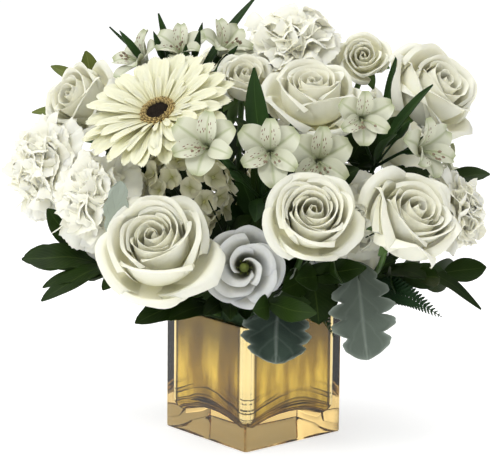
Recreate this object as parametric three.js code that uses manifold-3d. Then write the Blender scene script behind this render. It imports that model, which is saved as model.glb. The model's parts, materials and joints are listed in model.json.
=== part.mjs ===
/* A floral table centrepiece, built the way a florist builds it: cut flowers and foliage pushed into a block of
   wet floral foam, which stands in a thick glass cube with a gold film on its inside walls.

   Millimetres, +Z up. The origin is the centre of the vase's flat base. -Y is the front of the arrangement, and the
   cube stands corner first, turned about Z by VASE_TURN.

   A bloom's own frame has its origin where the petals leave the green calyx, +Z the way the bloom faces and +Y up.
   Azimuth 0 faces the front and grows towards +X; elevation is above the horizon. */
import * as THREE from "three";
import { mergeVertices } from "three/addons/utils/BufferGeometryUtils.js";
import Module from "manifold-3d";

const wasm = await Module();
wasm.setup();

// ---------------------------------------------------------------- driving dimensions

const VASE_SIDE = 101.6; // a four inch cube
const VASE_TURN = 40.3; // degrees
const WALL = 4.5;
const GLASS_FLOOR = 16;
const LINING = 0.8;
const GAP = 0.3; // between pieces that touch
const FOAM_RISE = 15; // above the vase's rim
const HOLE_ROOM = 0.5; // round a stem in the foam
const STEM_SIDES = 4;
const PETAL = 0.8; // thickness of a petal
const LEAF = 0.9; // thickness of a leaf

const RIM = VASE_SIDE;
const CAVITY = VASE_SIDE - 2 * WALL;

// ---------------------------------------------------------------- colours

const matte = (color, roughness) =>
  new THREE.MeshStandardMaterial({ color, roughness, metalness: 0 });
const GLASS = new THREE.MeshStandardMaterial({ color: 0xf3f0e4, roughness: 0.05, metalness: 0 });
const GOLD = new THREE.MeshStandardMaterial({ color: 0xd9b45a, roughness: 0.12, metalness: 1 });
const FOAM = matte(0x3f6b3a, 0.95);
const CREAM = matte(0xf3efe0, 0.6);
const WHITE = matte(0xf6f5f1, 0.65);
const LEMON_WHITE = matte(0xf5f2d8, 0.55);
const PALE_GREEN = matte(0xd9d9bd, 0.7);
const DARK_DISC = matte(0x2a1d14, 0.85);
const STEM_GREEN = matte(0x4f7a35, 0.55);
const LEAF_GREEN = matte(0x1f4a1c, 0.4);
const SILVER_GREEN = matte(0x8fa396, 0.85);

// ---------------------------------------------------------------- solids

// A manifold solid of any closed three.js geometry.
function solidOf(geometry) {
  const bare = geometry.index ? geometry.toNonIndexed() : geometry.clone();
  const position = new THREE.BufferGeometry().setAttribute("position", bare.getAttribute("position"));
  const merged = mergeVertices(position, 1e-4);
  return new wasm.Manifold(
    new wasm.Mesh({
      numProp: 3,
      vertProperties: merged.attributes.position.array,
      triVerts: new Uint32Array(merged.index.array),
    }),
  );
}

// The solids as one body. A sealed hollow is filled and a loose scrap is dropped.
function join(solids) {
  const bodies = wasm.Manifold.union(solids).simplify(0.1).decompose();
  return bodies.reduce((a, b) => (b.volume() > a.volume() ? b : a));
}

function geometryOf(solid) {
  const { numProp, vertProperties, triVerts, numVert } = solid.getMesh();
  const position = new Float32Array(numVert * 3);
  for (let i = 0; i < numVert; i++)
    position.set(vertProperties.subarray(i * numProp, i * numProp + 3), i * 3);
  return new THREE.BufferGeometry()
    .setAttribute("position", new THREE.BufferAttribute(position, 3))
    .setIndex(new THREE.BufferAttribute(triVerts, 1));
}

const moved = (solid, matrix) => solid.transform([...matrix.elements]);

// A thin closed sheet round surface(u, v), with u from -1 to 1 across it and v from 0 to 1 along it.
function blade(surface, across, along, thickness) {
  const step = 0.01;
  const points = [];
  for (const side of [1, -1])
    for (let j = 0; j <= along; j++)
      for (let i = 0; i <= across; i++) {
        const u = (2 * i) / across - 1;
        const v = j / along;
        const du = surface(Math.min(1, u + step), v).sub(surface(Math.max(-1, u - step), v));
        const dv = surface(u, Math.min(1, v + step)).sub(surface(u, Math.max(0, v - step)));
        const normal = du.cross(dv).normalize();
        points.push(surface(u, v).addScaledVector(normal, (side * thickness) / 2));
      }
  const row = across + 1;
  const back = row * (along + 1);
  const faces = [];
  for (let j = 0; j < along; j++)
    for (let i = 0; i < across; i++) {
      const a = j * row + i;
      const [b, c, d] = [a + 1, a + row + 1, a + row];
      faces.push(a, b, c, a, c, d);
      faces.push(back + a, back + c, back + b, back + a, back + d, back + c);
    }
  const edge = [];
  for (let i = 0; i < across; i++) edge.push(i);
  for (let j = 0; j < along; j++) edge.push(j * row + across);
  for (let i = across; i > 0; i--) edge.push(along * row + i);
  for (let j = along; j > 0; j--) edge.push(j * row);
  edge.forEach((p, k) => {
    const q = edge[(k + 1) % edge.length];
    faces.push(p, back + p, back + q, p, back + q, q);
  });
  const geometry = new THREE.BufferGeometry().setFromPoints(points);
  geometry.setIndex(faces);
  return solidOf(geometry);
}

// A row of petals on a hub, as one closed shell with no crossings. petal(i) gives the surface of petal i, whose foot
// is an edge of the hub's polygon: share is how much of the polygon's round the feet take up. The hub's upper side
// is closed by cap and its lower side by root, each a list of [radius, height] rings that ends on the axis.
function rosette({ count, turn = 0, petal, across, along, hub, share = 1, cap = [], root = [] }) {
  const points = [];
  const faces = [];
  const put = (point) => points.push(point) - 1;
  const polar = (r, angle, h) => new THREE.Vector3(r * Math.cos(angle), r * Math.sin(angle), h);
  const corners = [];
  for (let i = 0; i < count; i++) {
    const middle = radians(turn + (360 * i) / count);
    const half = (share * Math.PI) / count;
    corners.push(middle - half);
    if (share < 1) corners.push(middle + half);
  }
  const each = share < 1 ? 2 : 1;
  const hubRing = (side) => corners.map((angle) => put(polar(hub[0], angle, hub[1] + (side * PETAL) / 2)));
  const hubs = [hubRing(1), hubRing(-1)];
  const face = (side, a, b, c) => (side ? faces.push(a, c, b) : faces.push(a, b, c));
  const joinEdge = (p, q) => {
    faces.push(p[0], p[1], q[1], p[0], q[1], q[0]);
  };
  for (let i = 0; i < count; i++) {
    const surface = petal(i);
    const steps = typeof across === "function" ? across(i) : across;
    const rows = [];
    for (let j = 1; j <= along; j++)
      rows.push(
        Array.from({ length: steps + 1 }, (_, k) => {
          const [u, v, e] = [(2 * k) / steps - 1, j / along, 0.01];
          const du = surface(Math.min(1, u + e), v).sub(surface(Math.max(-1, u - e), v));
          const dv = surface(u, Math.min(1, v + e)).sub(surface(u, v - e));
          const normal = dv.cross(du).normalize();
          return [1, -1].map((side) => put(surface(u, v).addScaledVector(normal, (side * PETAL) / 2)));
        }),
      );
    const left = hubs.map((ring) => ring[each * i]);
    const right = hubs.map((ring) => ring[(each * i + 1) % corners.length]);
    for (const side of [0, 1]) {
      const [a, b, first] = [left[side], right[side], rows[0].map((p) => p[side])];
      const middle = Math.floor(steps / 2);
      for (let k = 0; k < steps; k++) face(side, k < middle ? a : b, first[k], first[k + 1]);
      face(side, a, first[middle], b);
      for (let j = 0; j + 1 < along; j++)
        for (let k = 0; k < steps; k++) {
          const [p, q] = [rows[j], rows[j + 1]];
          face(side, p[k][side], q[k][side], q[k + 1][side]);
          face(side, p[k][side], q[k + 1][side], p[k + 1][side]);
        }
    }
    const top = rows[along - 1];
    const outline = [left, ...rows.slice(0, -1).map((row) => row[0]), ...top];
    outline.push(...rows.slice(0, -1).reverse().map((row) => row[steps]), right);
    for (let k = 0; k + 1 < outline.length; k++) joinEdge(outline[k], outline[k + 1]);
    if (each === 2) joinEdge(right, hubs.map((ring) => ring[(each * i + 2) % corners.length]));
  }
  [cap, root].forEach((profile, side) => {
    let ring = hubs[side];
    for (const [r, h] of profile.slice(0, -1)) {
      const next = corners.map((angle) => put(polar(r, angle, h)));
      corners.forEach((_, k) => {
        const m = (k + 1) % corners.length;
        face(side, ring[k], ring[m], next[m]);
        face(side, ring[k], next[m], next[k]);
      });
      ring = next;
    }
    if (profile.length === 0) for (let k = 1; k + 1 < ring.length; k++) face(side, ring[0], ring[k], ring[k + 1]);
    else {
      const tip = put(new THREE.Vector3(0, 0, profile.at(-1)[1]));
      corners.forEach((_, k) => face(side, ring[k], ring[(k + 1) % corners.length], tip));
    }
  });
  const geometry = new THREE.BufferGeometry().setFromPoints(points);
  geometry.setIndex(faces);
  return solidOf(geometry);
}

// A closed rod of regular section through the points, with a radius for each point.
function rod(points, radii, sides) {
  const rings = points.length;
  const vertices = [];
  const last = points[rings - 1].clone().sub(points[rings - 2]).normalize();
  const across = new THREE.Vector3(0.31, 0.87, 0.22).cross(last).normalize();
  points.forEach((p, k) => {
    const ahead = points[Math.min(k + 1, rings - 1)].clone().sub(p).normalize();
    const behind = p.clone().sub(points[Math.max(k - 1, 0)]).normalize();
    const tangent = ahead.add(behind).normalize();
    const flat = across.clone().addScaledVector(tangent, -across.dot(tangent)).normalize();
    const up = tangent.clone().cross(flat);
    for (let i = 0; i < sides; i++) {
      const a = (2 * Math.PI * i) / sides;
      const radial = flat.clone().multiplyScalar(Math.cos(a)).addScaledVector(up, Math.sin(a));
      vertices.push(p.clone().addScaledVector(radial, radii[k]));
    }
  });
  const faces = [];
  for (let k = 0; k < rings - 1; k++)
    for (let i = 0; i < sides; i++) {
      const [a, b] = [k * sides + i, k * sides + ((i + 1) % sides)];
      faces.push(a, b, b + sides, a, b + sides, a + sides);
    }
  const end = (rings - 1) * sides;
  for (let i = 1; i < sides - 1; i++) faces.push(0, i + 1, i, end, end + i, end + i + 1);
  const geometry = new THREE.BufferGeometry().setFromPoints(vertices);
  geometry.setIndex(faces);
  return solidOf(geometry);
}

// A solid of revolution about +Z from [radius, height] pairs, which start and end on the axis.
function turned(profile, segments) {
  const points = profile.map(([r, h]) => new THREE.Vector2(r, h));
  return solidOf(new THREE.LatheGeometry(points, segments).rotateX(Math.PI / 2));
}

// A square block with rounded upright edges, standing on z = low.
function roundedBlock(side, corner, low, high, bevel = 0) {
  const h = side / 2;
  const shape = new THREE.Shape();
  shape.moveTo(h, h - corner);
  for (let quarter = 0; quarter < 4; quarter++) {
    const a = (quarter * Math.PI) / 2;
    const reach = h - corner;
    const [x, y] = [Math.SQRT2 * Math.cos(a + Math.PI / 4), Math.SQRT2 * Math.sin(a + Math.PI / 4)];
    shape.absarc(x * reach, y * reach, corner, a, a + Math.PI / 2, false);
  }
  const geometry = new THREE.ExtrudeGeometry(shape, {
    depth: high - low - 2 * bevel,
    bevelEnabled: bevel > 0,
    bevelThickness: bevel,
    bevelSize: bevel,
    bevelOffset: -bevel,
    bevelSegments: 1,
    curveSegments: 2,
  });
  return solidOf(geometry.translate(0, 0, low + bevel));
}

// ---------------------------------------------------------------- places and directions

const vector = (xyz) => new THREE.Vector3(...xyz);
const radians = THREE.MathUtils.degToRad;

function facing(azimuth, elevation) {
  const [a, e] = [radians(azimuth), radians(elevation)];
  return new THREE.Vector3(Math.sin(a) * Math.cos(e), -Math.cos(a) * Math.cos(e), Math.sin(e));
}

// The matrix of a bloom's own frame: its heart is at bloom.at, and its origin lies depth behind the heart.
function stance(bloom, depth) {
  const z = facing(bloom.az, bloom.el);
  const x = new THREE.Vector3(0, 0, 1).cross(z).normalize();
  const y = z.clone().cross(x);
  const origin = vector(bloom.at).addScaledVector(z, -depth);
  return new THREE.Matrix4().makeBasis(x, y, z).setPosition(origin);
}

const cubic = (a, b, c, d, t) => {
  const s = 1 - t;
  return s * s * s * a + 3 * s * s * t * b + 3 * s * t * t * c + t * t * t * d;
};

// ---------------------------------------------------------------- blooms

// A petal's path out from the axis is a cubic curve through [radius, height] shares of the bloom's radius.
// It is cup-shaped: it wraps the axis by its half angle, with crown rounding off its top corners.
function cupPetal(R, turn, { half, foot, belly, rim, lip, crown = 0.14, skew = 0.03 }) {
  return (u, v) => {
    const t = v * (1 - crown * u * u);
    const radius = R * (cubic(foot[0], belly[0], rim[0], lip[0], t) + skew * u * v);
    const height = R * cubic(foot[1], belly[1], rim[1], lip[1], t);
    const spread = 0.45 + 0.55 * Math.sin((Math.PI / 2) * Math.min(1, 1.6 * v));
    const a = turn + radians(half) * u * spread;
    return new THREE.Vector3(radius * Math.cos(a), radius * Math.sin(a), height);
  };
}

const scaled = (R, profile) => profile.map(([r, h]) => [r * R, h * R]);
const turnOf = (row, i) => radians(row.turn + (360 * i) / row.count);

// Tiers of cup-shaped petals. Each tier's root sinks into the hub of the tier below it.
function cupBloom(R, tiers) {
  return join(
    tiers.map((tier) =>
      rosette({
        ...tier,
        hub: [tier.hub[0] * R, tier.hub[1] * R],
        cap: scaled(R, tier.cap ?? []),
        root: scaled(R, tier.root ?? []),
        petal: (i) => cupPetal(R, turnOf(tier, i), tier),
      }),
    ),
  );
}

// Roses open from a tight bud, open = 0, to a full bloom, open = 1. One that is half hidden has fewer petals.
function roseHead({ radius, open = 1, hidden = false }) {
  const wide = 0.7 + 0.3 * open;
  const outer = {
    count: hidden ? 4 : 5,
    half: hidden ? 43 : 35,
    turn: 18,
    across: 2,
    along: 2,
    hub: [0.3, 0.05],
    foot: [0.2, 0.08],
    belly: [0.95 * wide, -0.04],
    rim: [0.74, 0.75],
    lip: [wide, 0.84],
  };
  const inner = {
    count: 3,
    half: 58,
    turn: 54,
    across: 3,
    along: hidden ? 1 : 2,
    share: 0.6,
    hub: [0.33, 0.24],
    foot: [0.2, 0.24],
    belly: [0.66, 0.24],
    rim: [0.52, 0.8],
    lip: [0.6 * wide, 1.03],
    cap: [[0.34, 0.55], [0.24, 0.9], [0.08, 1.08], [0, 1.02]],
    root: [[0.2, 0.05], [0, 0.05]],
  };
  return cupBloom(radius, [outer, inner]);
}

// A lisianthus is a looser cup with an open throat.
const LISIANTHUS_TIERS = [
  { count: 5, half: 35, turn: 18, across: 2, along: 2, hub: [0.24, 0.05], foot: [0.12, 0.06], belly: [0.8, 0.0], rim: [0.6, 0.65], lip: [1.0, 0.72] },
  {
    count: 3,
    half: 58,
    turn: 54,
    across: 3,
    along: 2,
    share: 0.6,
    hub: [0.24, 0.16],
    foot: [0.12, 0.16],
    belly: [0.5, 0.2],
    rim: [0.38, 0.7],
    lip: [0.62, 0.86],
    cap: [[0.1, 0.2], [0.07, 0.4], [0, 0.4]],
    root: [[0.14, 0.05], [0, 0.05]],
  },
];
const lisianthusHead = ({ radius }) => cupBloom(radius, LISIANTHUS_TIERS);

// A carnation is three tiers of pleated fans.
const CARNATION_TIERS = [
  { count: 6, turn: 0, across: 3, along: 1, hub: [0.26, 0.05], rim: [0.62, 0.5], lip: [1.0, 0.34] },
  { count: 5, turn: 20, across: 3, along: 1, hub: [0.22, 0.24], rim: [0.5, 0.75], lip: [0.76, 0.74], root: [[0.16, 0.05], [0, 0.05]] },
  { count: 4, turn: 60, across: 3, along: 1, hub: [0.16, 0.42], rim: [0.2, 0.8], lip: [0.38, 1.0], root: [[0.12, 0.24], [0, 0.24]] },
];
function fanPetal(R, turn, { rim, lip, hub, count }) {
  const path = (t) => [cubic(hub[0], 0.2, rim[0], lip[0], t), cubic(hub[1], 0.45, rim[1], lip[1], t)];
  return (u, v) => {
    const [[r, h], [r1, h1]] = [path(v), path(v + 0.02)];
    const slope = Math.atan2(h1 - h, r1 - r);
    const pleat = 0.07 * v * Math.cos(1.5 * Math.PI * (u + 1));
    const radius = R * (r - pleat * Math.sin(slope));
    const height = R * (h + pleat * Math.cos(slope));
    const side = 0.9 * u * radius * Math.tan(Math.PI / count) * (0.5 + 0.5 * v);
    return new THREE.Vector3(
      radius * Math.cos(turn) - side * Math.sin(turn),
      radius * Math.sin(turn) + side * Math.cos(turn),
      height,
    );
  };
}
function carnationHead({ radius: R, hidden }) {
  const tiers = hidden ? CARNATION_TIERS.slice(0, 2) : CARNATION_TIERS;
  return join(
    tiers.map((tier) =>
      rosette({
        ...tier,
        hub: [tier.hub[0] * R, tier.hub[1] * R],
        root: scaled(R, tier.root ?? []),
        petal: (i) => fanPetal(R, turnOf(tier, i), tier),
      }),
    ),
  );
}

// A gerbera has long straps in two rings on a flat hub, cupped by a few degrees.
const GERBERA_RINGS = [
  { count: 22, turn: 0, across: 1, along: 2, hub: [14, 0.6], reach: 1.0, cup: 15, half: 0.083 },
  { count: 14, turn: 9, across: 1, along: 2, hub: [12.5, 4], reach: 0.74, cup: 24, half: 0.075, root: [[8, 0.6], [0, 0.6]] },
];
const DISC_LOW = 4 + PETAL / 2 + GAP;
// Each ray is turned a little about its length, so that it laps over its neighbour.
function strapPetal(R, turn, { hub, reach, cup, half }) {
  const length = R * reach - hub[0];
  const rise = Math.tan(radians(cup));
  return (u, v) => {
    const along = hub[0] + length * v;
    const side = u * (1.2 + R * half * Math.sin(Math.PI * (0.04 + 0.84 * v)));
    return new THREE.Vector3(
      along * Math.cos(turn) - side * Math.sin(turn),
      along * Math.sin(turn) + side * Math.cos(turn),
      hub[1] + rise * length * v * (1 - 0.25 * v) + 0.16 * side,
    );
  };
}
const gerberaHead = ({ radius: R }) =>
  join(GERBERA_RINGS.map((ring) => rosette({ ...ring, petal: (i) => strapPetal(R, turnOf(ring, i), ring) })));

// The disc has a raised ring of florets round a sunk eye.
function gerberaDisc() {
  const profile = [[0, 0], [12, 0], [15.5, 2.4], [14, 4.2], [10.5, 3.2], [0, 2.4]];
  const disc = new THREE.LatheGeometry(
    profile.map(([r, h]) => new THREE.Vector2(r, DISC_LOW + h)),
    16,
  ).rotateX(Math.PI / 2);
  const place = disc.getAttribute("position");
  for (let i = 0; i < place.count; i++) {
    const [x, y, z] = [place.getX(i), place.getY(i), place.getZ(i)];
    if (z < DISC_LOW + 0.1 || Math.hypot(x, y) < 1) continue;
    place.setZ(i, z + 0.5 * Math.cos(8 * Math.atan2(y, x)));
  }
  return solidOf(disc);
}

// A hydrangea head is a dome covered with four-petalled florets, each a shallow star on a short stalk.
function hydrangeaFloret(size) {
  const ring = Array.from({ length: 8 }, (_, i) => {
    const a = (Math.PI * i) / 4;
    const r = i % 2 ? 0.62 * size : size;
    return new THREE.Vector3(r * Math.cos(a), r * Math.sin(a), i % 2 ? 0 : 0.3 * size);
  });
  const eye = new THREE.Vector3(0, 0, -0.15 * size);
  const root = new THREE.Vector3(0, 0, -1.3 * size);
  const faces = ring.flatMap((_, i) => [8, i, (i + 1) % 8, 9, (i + 1) % 8, i]);
  const geometry = new THREE.BufferGeometry().setFromPoints([...ring, eye, root]);
  geometry.setIndex(faces);
  return solidOf(geometry);
}
// Florets on a golden-angle spiral from the crown of the dome down to its edge.
function hydrangeaHead({ radius: R, florets }) {
  const [flat, size] = [0.62, (1.42 * R) / Math.sqrt(florets)];
  const dome = [[0, 0.02], [0.45, 0.05], [0.72, 0.3], [0.62, 0.62], [0.3, 0.82], [0, 0.86]].map(([r, h]) => [
    r * R,
    h * R * flat * 1.45,
  ]);
  const floret = hydrangeaFloret(size);
  const heads = Array.from({ length: florets }, (_, i) => {
    const polar = Math.acos(1 - (1.12 * (i + 0.5)) / florets);
    const out = new THREE.Vector3().setFromSphericalCoords(1, polar, radians(137.5 * i));
    out.set(out.x, out.z, out.y);
    const turn = new THREE.Quaternion().setFromUnitVectors(new THREE.Vector3(0, 0, 1), out);
    const place = new THREE.Vector3(out.x * R, out.y * R, (0.3 + 0.95 * out.z) * R * flat * 1.1);
    return moved(floret, new THREE.Matrix4().compose(place, turn, new THREE.Vector3(1, 1, 1)));
  });
  return join([turned(dome, 8), ...heads]);
}

// An alstroemeria is a funnel of three broad and three narrow tepals.
const TEPALS = [
  { half: 0.42, belly: [0.12, 0.5], rim: [0.55, 0.72], lip: [1.0, 0.86] },
  { half: 0.28, belly: [0.1, 0.55], rim: [0.42, 0.85], lip: [0.88, 1.02] },
];
function tepal(R, turn, { half, belly, rim, lip }) {
  return (u, v) => {
    const radius = R * cubic(0.05, belly[0], rim[0], lip[0], v);
    const height = R * cubic(0.12, belly[1], rim[1], lip[1], v) + 0.06 * R * u * u * v;
    const side = u * R * (0.045 + half * Math.sin(Math.PI * Math.pow(0.93 * v, 1.5)));
    return new THREE.Vector3(
      radius * Math.cos(turn) - side * Math.sin(turn),
      radius * Math.sin(turn) + side * Math.cos(turn),
      height,
    );
  };
}
const alstroemeriaHead = ({ radius: R }) =>
  rosette({
    count: 6,
    turn: 30,
    across: (i) => 2 - (i % 2),
    along: 2,
    hub: [0.14 * R, 0.22 * R],
    root: scaled(R, [[0.08, 0.01], [0, 0.01]]),
    petal: (i) => tepal(R, radians(30 + 60 * i), TEPALS[i % 2]),
  });

// ---------------------------------------------------------------- leaves and stems

// The point at the share s of a path's length.
function alongPath(path, s) {
  const line = new THREE.CurvePath();
  for (let i = 1; i < path.length; i++) line.add(new THREE.LineCurve3(vector(path[i - 1]), vector(path[i])));
  return line.getPoint(s).toArray();
}

// A leaf from one point to another. Its upper side looks towards face. It arches by arch times its length,
// folds along its midrib by fold, and is widest at the share peak of its length.
function leafSurface({ from, to, width, arch = 0.08, fold = 0.15, face = [0, -0.7, 1], peak = 0.5 }) {
  const start = vector(from);
  const axis = vector(to).sub(start);
  const length = axis.length();
  const along = axis.clone().normalize();
  const side = along.clone().cross(vector(face)).normalize();
  const up = side.clone().cross(along);
  const power = Math.log(0.5) / Math.log(peak);
  return (u, v) => {
    const w = 0.8 + (width / 2 - 0.8) * Math.sin(Math.PI * Math.pow(v, power));
    return start
      .clone()
      .addScaledVector(axis, v)
      .addScaledVector(side, -u * w)
      .addScaledVector(up, 4 * arch * length * v * (1 - v) + fold * Math.abs(u) * w);
  };
}
const leaf = (spec) => blade(leafSurface(spec), 2, spec.rows ?? (spec.width > 20 ? 3 : 2), LEAF);

// A dusty miller leaf has blunt lobes down both sides.
function lobedSurface(spec) {
  const plain = leafSurface(spec);
  const start = vector(spec.from);
  const axis = vector(spec.to).sub(start);
  return (u, v) => {
    const lobe = 1 - 0.3 * Math.abs(Math.cos(Math.PI * spec.lobes * v)) * Math.min(1, 3 * v);
    const middle = start.clone().addScaledVector(axis, v);
    const spine = plain(0, v);
    return plain(u, v).sub(spine).multiplyScalar(u === 0 ? 1 : lobe).add(spine.lerp(middle, 0));
  };
}
const lobedLeaf = (spec) => blade(lobedSurface(spec), 2, 2 * spec.lobes, LEAF);

// A fern frond is one arched blade with its leaflets cut to the rib.
function frondSurface(spec) {
  const plain = leafSurface({ ...spec, peak: 0.35 });
  return (u, v) => {
    const spine = plain(0, v);
    const cut = Math.round(v * 2 * spec.leaflets) % 2 ? 1 : 0.3;
    return plain(u, v).sub(spine).multiplyScalar(cut).add(spine);
  };
}
const frond = (spec) => blade(frondSurface(spec), 2, 2 * spec.leaflets, LEAF);

// A star-shaped calyx under a bloom, in the bloom's own frame: its flat top is just below z = 0.
function starCalyx(neck, points, reach) {
  const cup = new THREE.LatheGeometry(
    [[0, -GAP], [neck * 1.6, -GAP], [neck * 1.5, -GAP - 1.2], [neck, -6], [neck * 0.7, -12], [0, -12]].map(
      ([r, h]) => new THREE.Vector2(r, h),
    ),
    2 * points,
  ).rotateX(Math.PI / 2);
  const place = cup.getAttribute("position");
  for (let i = 0; i < place.count; i++) {
    const [x, y, z] = [place.getX(i), place.getY(i), place.getZ(i)];
    if (z < -3 || Math.hypot(x, y) < 0.1) continue;
    const point = Math.cos(points * Math.atan2(x, y)) > 0;
    const grow = point ? reach / neck : 0.8;
    place.setXYZ(i, x * grow, y * grow, point ? z - 0.25 * reach : z);
  }
  return solidOf(cup);
}

const tubeCalyx = (radius, length) =>
  turned([[0, -GAP], [radius, -GAP], [radius * 1.1, -length * 0.3], [radius * 0.75, -length], [0, -length]], 6);

// The points of a stem that leaves the bloom behind it and bends towards its foot in the foam.
function stemPath(start, behind, foot, via) {
  if (via) return [start, ...via.map(vector), foot];
  const knee = start.clone().addScaledVector(behind, 0.38 * start.distanceTo(foot));
  return new THREE.QuadraticBezierCurve3(start, knee, foot).getPoints(5).filter((_, i) => i !== 4 && i !== 2);
}

// A bud is a rod that swells near its end.
function bud(from, to, size) {
  const [a, b] = [vector(from), vector(to)];
  const shares = [0, 0.55, 0.72, 0.9, 1];
  const points = shares.map((s) => a.clone().lerp(b, s));
  return rod(points, [1, 1, size, size * 0.8, 0.5], STEM_SIDES);
}

// ---------------------------------------------------------------- the arrangement

// How each kind of bloom is made: its head, the share of its radius from its origin to its heart,
// its calyx and its stem's radius.
const KINDS = {
  rose: { head: roseHead, depth: 0.56, calyx: () => starCalyx(4.5, 5, 11), stem: 2.4, low: 11 },
  carnation: { head: carnationHead, depth: 0.45, calyx: () => tubeCalyx(6, 26), stem: 1.8, low: 25 },
  gerbera: { head: gerberaHead, depth: 0.13, calyx: () => tubeCalyx(7, 7), stem: 2.8, low: 6 },
  lisianthus: { head: lisianthusHead, depth: 0.5, calyx: () => starCalyx(3, 5, 6), stem: 1.8, low: 11 },
  hydrangea: { head: hydrangeaHead, depth: 0.45, calyx: () => tubeCalyx(5, 9), stem: 2.8, low: 8 },
  alstroemeria: { head: alstroemeriaHead, depth: 0.5 },
};

// The feet of the stems in the foam. The stems of one group meet at their foot.
const FEET = {
  front_left: [-16, -20, 97],
  front_right: [14, -22, 97],
  left: [-32, 6, 84],
  top: [2, 4, 54],
  right: [32, -2, 84],
  back_left: [-18, 26, 97],
  back_right: [14, 28, 95],
  gerbera: [-20, 0, 66],
};

const BLOOMS = [
  { kind: "rose", name: "rose_lower_left", at: [-75, -128, 179], az: -12, el: 46, radius: 46, foot: "front_left" },
  { kind: "rose", name: "rose_centre", at: [43, -138, 205], az: 5, el: 36, radius: 40, foot: "front_right" },
  { kind: "rose", name: "rose_right", at: [117, -118, 201], az: 35, el: 42, radius: 41, foot: "front_right", via: [[88, -64, 140]] },
  { kind: "rose", name: "rose_top", at: [44, -45, 283], az: 0, el: 66, radius: 38, foot: "top" },
  { kind: "rose", name: "rose_upper_right", at: [141, -15, 284], az: 50, el: 38, radius: 42, foot: "right" },
  { kind: "rose", name: "rose_far_left", at: [-144, 40, 265], az: -50, el: 30, radius: 37, foot: "left", hidden: true },
  { kind: "rose", name: "rose_behind_gerbera", at: [-9, -12, 290], az: 10, el: 50, radius: 25, open: 0.3, foot: "top", hidden: true },
  { kind: "rose", name: "spray_rose", at: [86, 8, 306], az: -5, el: 30, radius: 20, foot: "top", hidden: true, via: [[78, 26, 268], [50, 14, 180]] },
  { kind: "rose", name: "rose_back_left", at: [-75, 105, 230], az: 215, el: 30, radius: 40, foot: "back_left", hidden: true },
  { kind: "rose", name: "rose_back", at: [30, 120, 200], az: 165, el: 20, radius: 40, foot: "back_right", hidden: true },
  { kind: "rose", name: "rose_back_right", at: [115, 75, 235], az: 120, el: 30, radius: 40, foot: "back_right", hidden: true },
  { kind: "carnation", name: "carnation_far_left", at: [-167, 0, 216], az: -50, el: 15, radius: 37, foot: "left" },
  { kind: "carnation", name: "carnation_left", at: [-123, -62, 202], az: -30, el: 15, radius: 36, foot: "front_left" },
  { kind: "carnation", name: "carnation_top", at: [31, 25, 315], az: 0, el: 65, radius: 36, foot: "top", via: [[27, 26, 205]] },
  { kind: "carnation", name: "carnation_centre", at: [77, -60, 191], az: 20, el: 20, radius: 36, foot: "front_right", hidden: true },
  { kind: "carnation", name: "carnation_far_right", at: [157, -52, 194], az: 75, el: 10, radius: 30, foot: "right" },
  { kind: "carnation", name: "carnation_back_top", at: [-20, 90, 275], az: 180, el: 50, radius: 35, foot: "back_left", hidden: true },
  { kind: "carnation", name: "carnation_back_left", at: [-128, 60, 176], az: 250, el: 10, radius: 32, foot: "back_left", hidden: true },
  { kind: "lisianthus", name: "lisianthus_front", at: [-8, -122, 162], az: 0, el: 11, radius: 29, foot: "front_left" },
  { kind: "lisianthus", name: "lisianthus_back", at: [110, 70, 170], az: 120, el: 5, radius: 28, foot: "back_right" },
  { kind: "gerbera", name: "gerbera_rays", at: [-77, -60, 273], az: -31, el: 52, radius: 61, foot: "gerbera", via: [[-58, -26, 244], [-48, -16, 215]] },
  { kind: "hydrangea", name: "hydrangea_front", at: [-54, -70, 214], az: -10, el: 10, radius: 35, florets: 16, foot: "gerbera" },
  { kind: "hydrangea", name: "hydrangea_back", at: [-35, 115, 170], az: 195, el: 5, radius: 35, florets: 12, foot: "back_left" },
];

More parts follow.
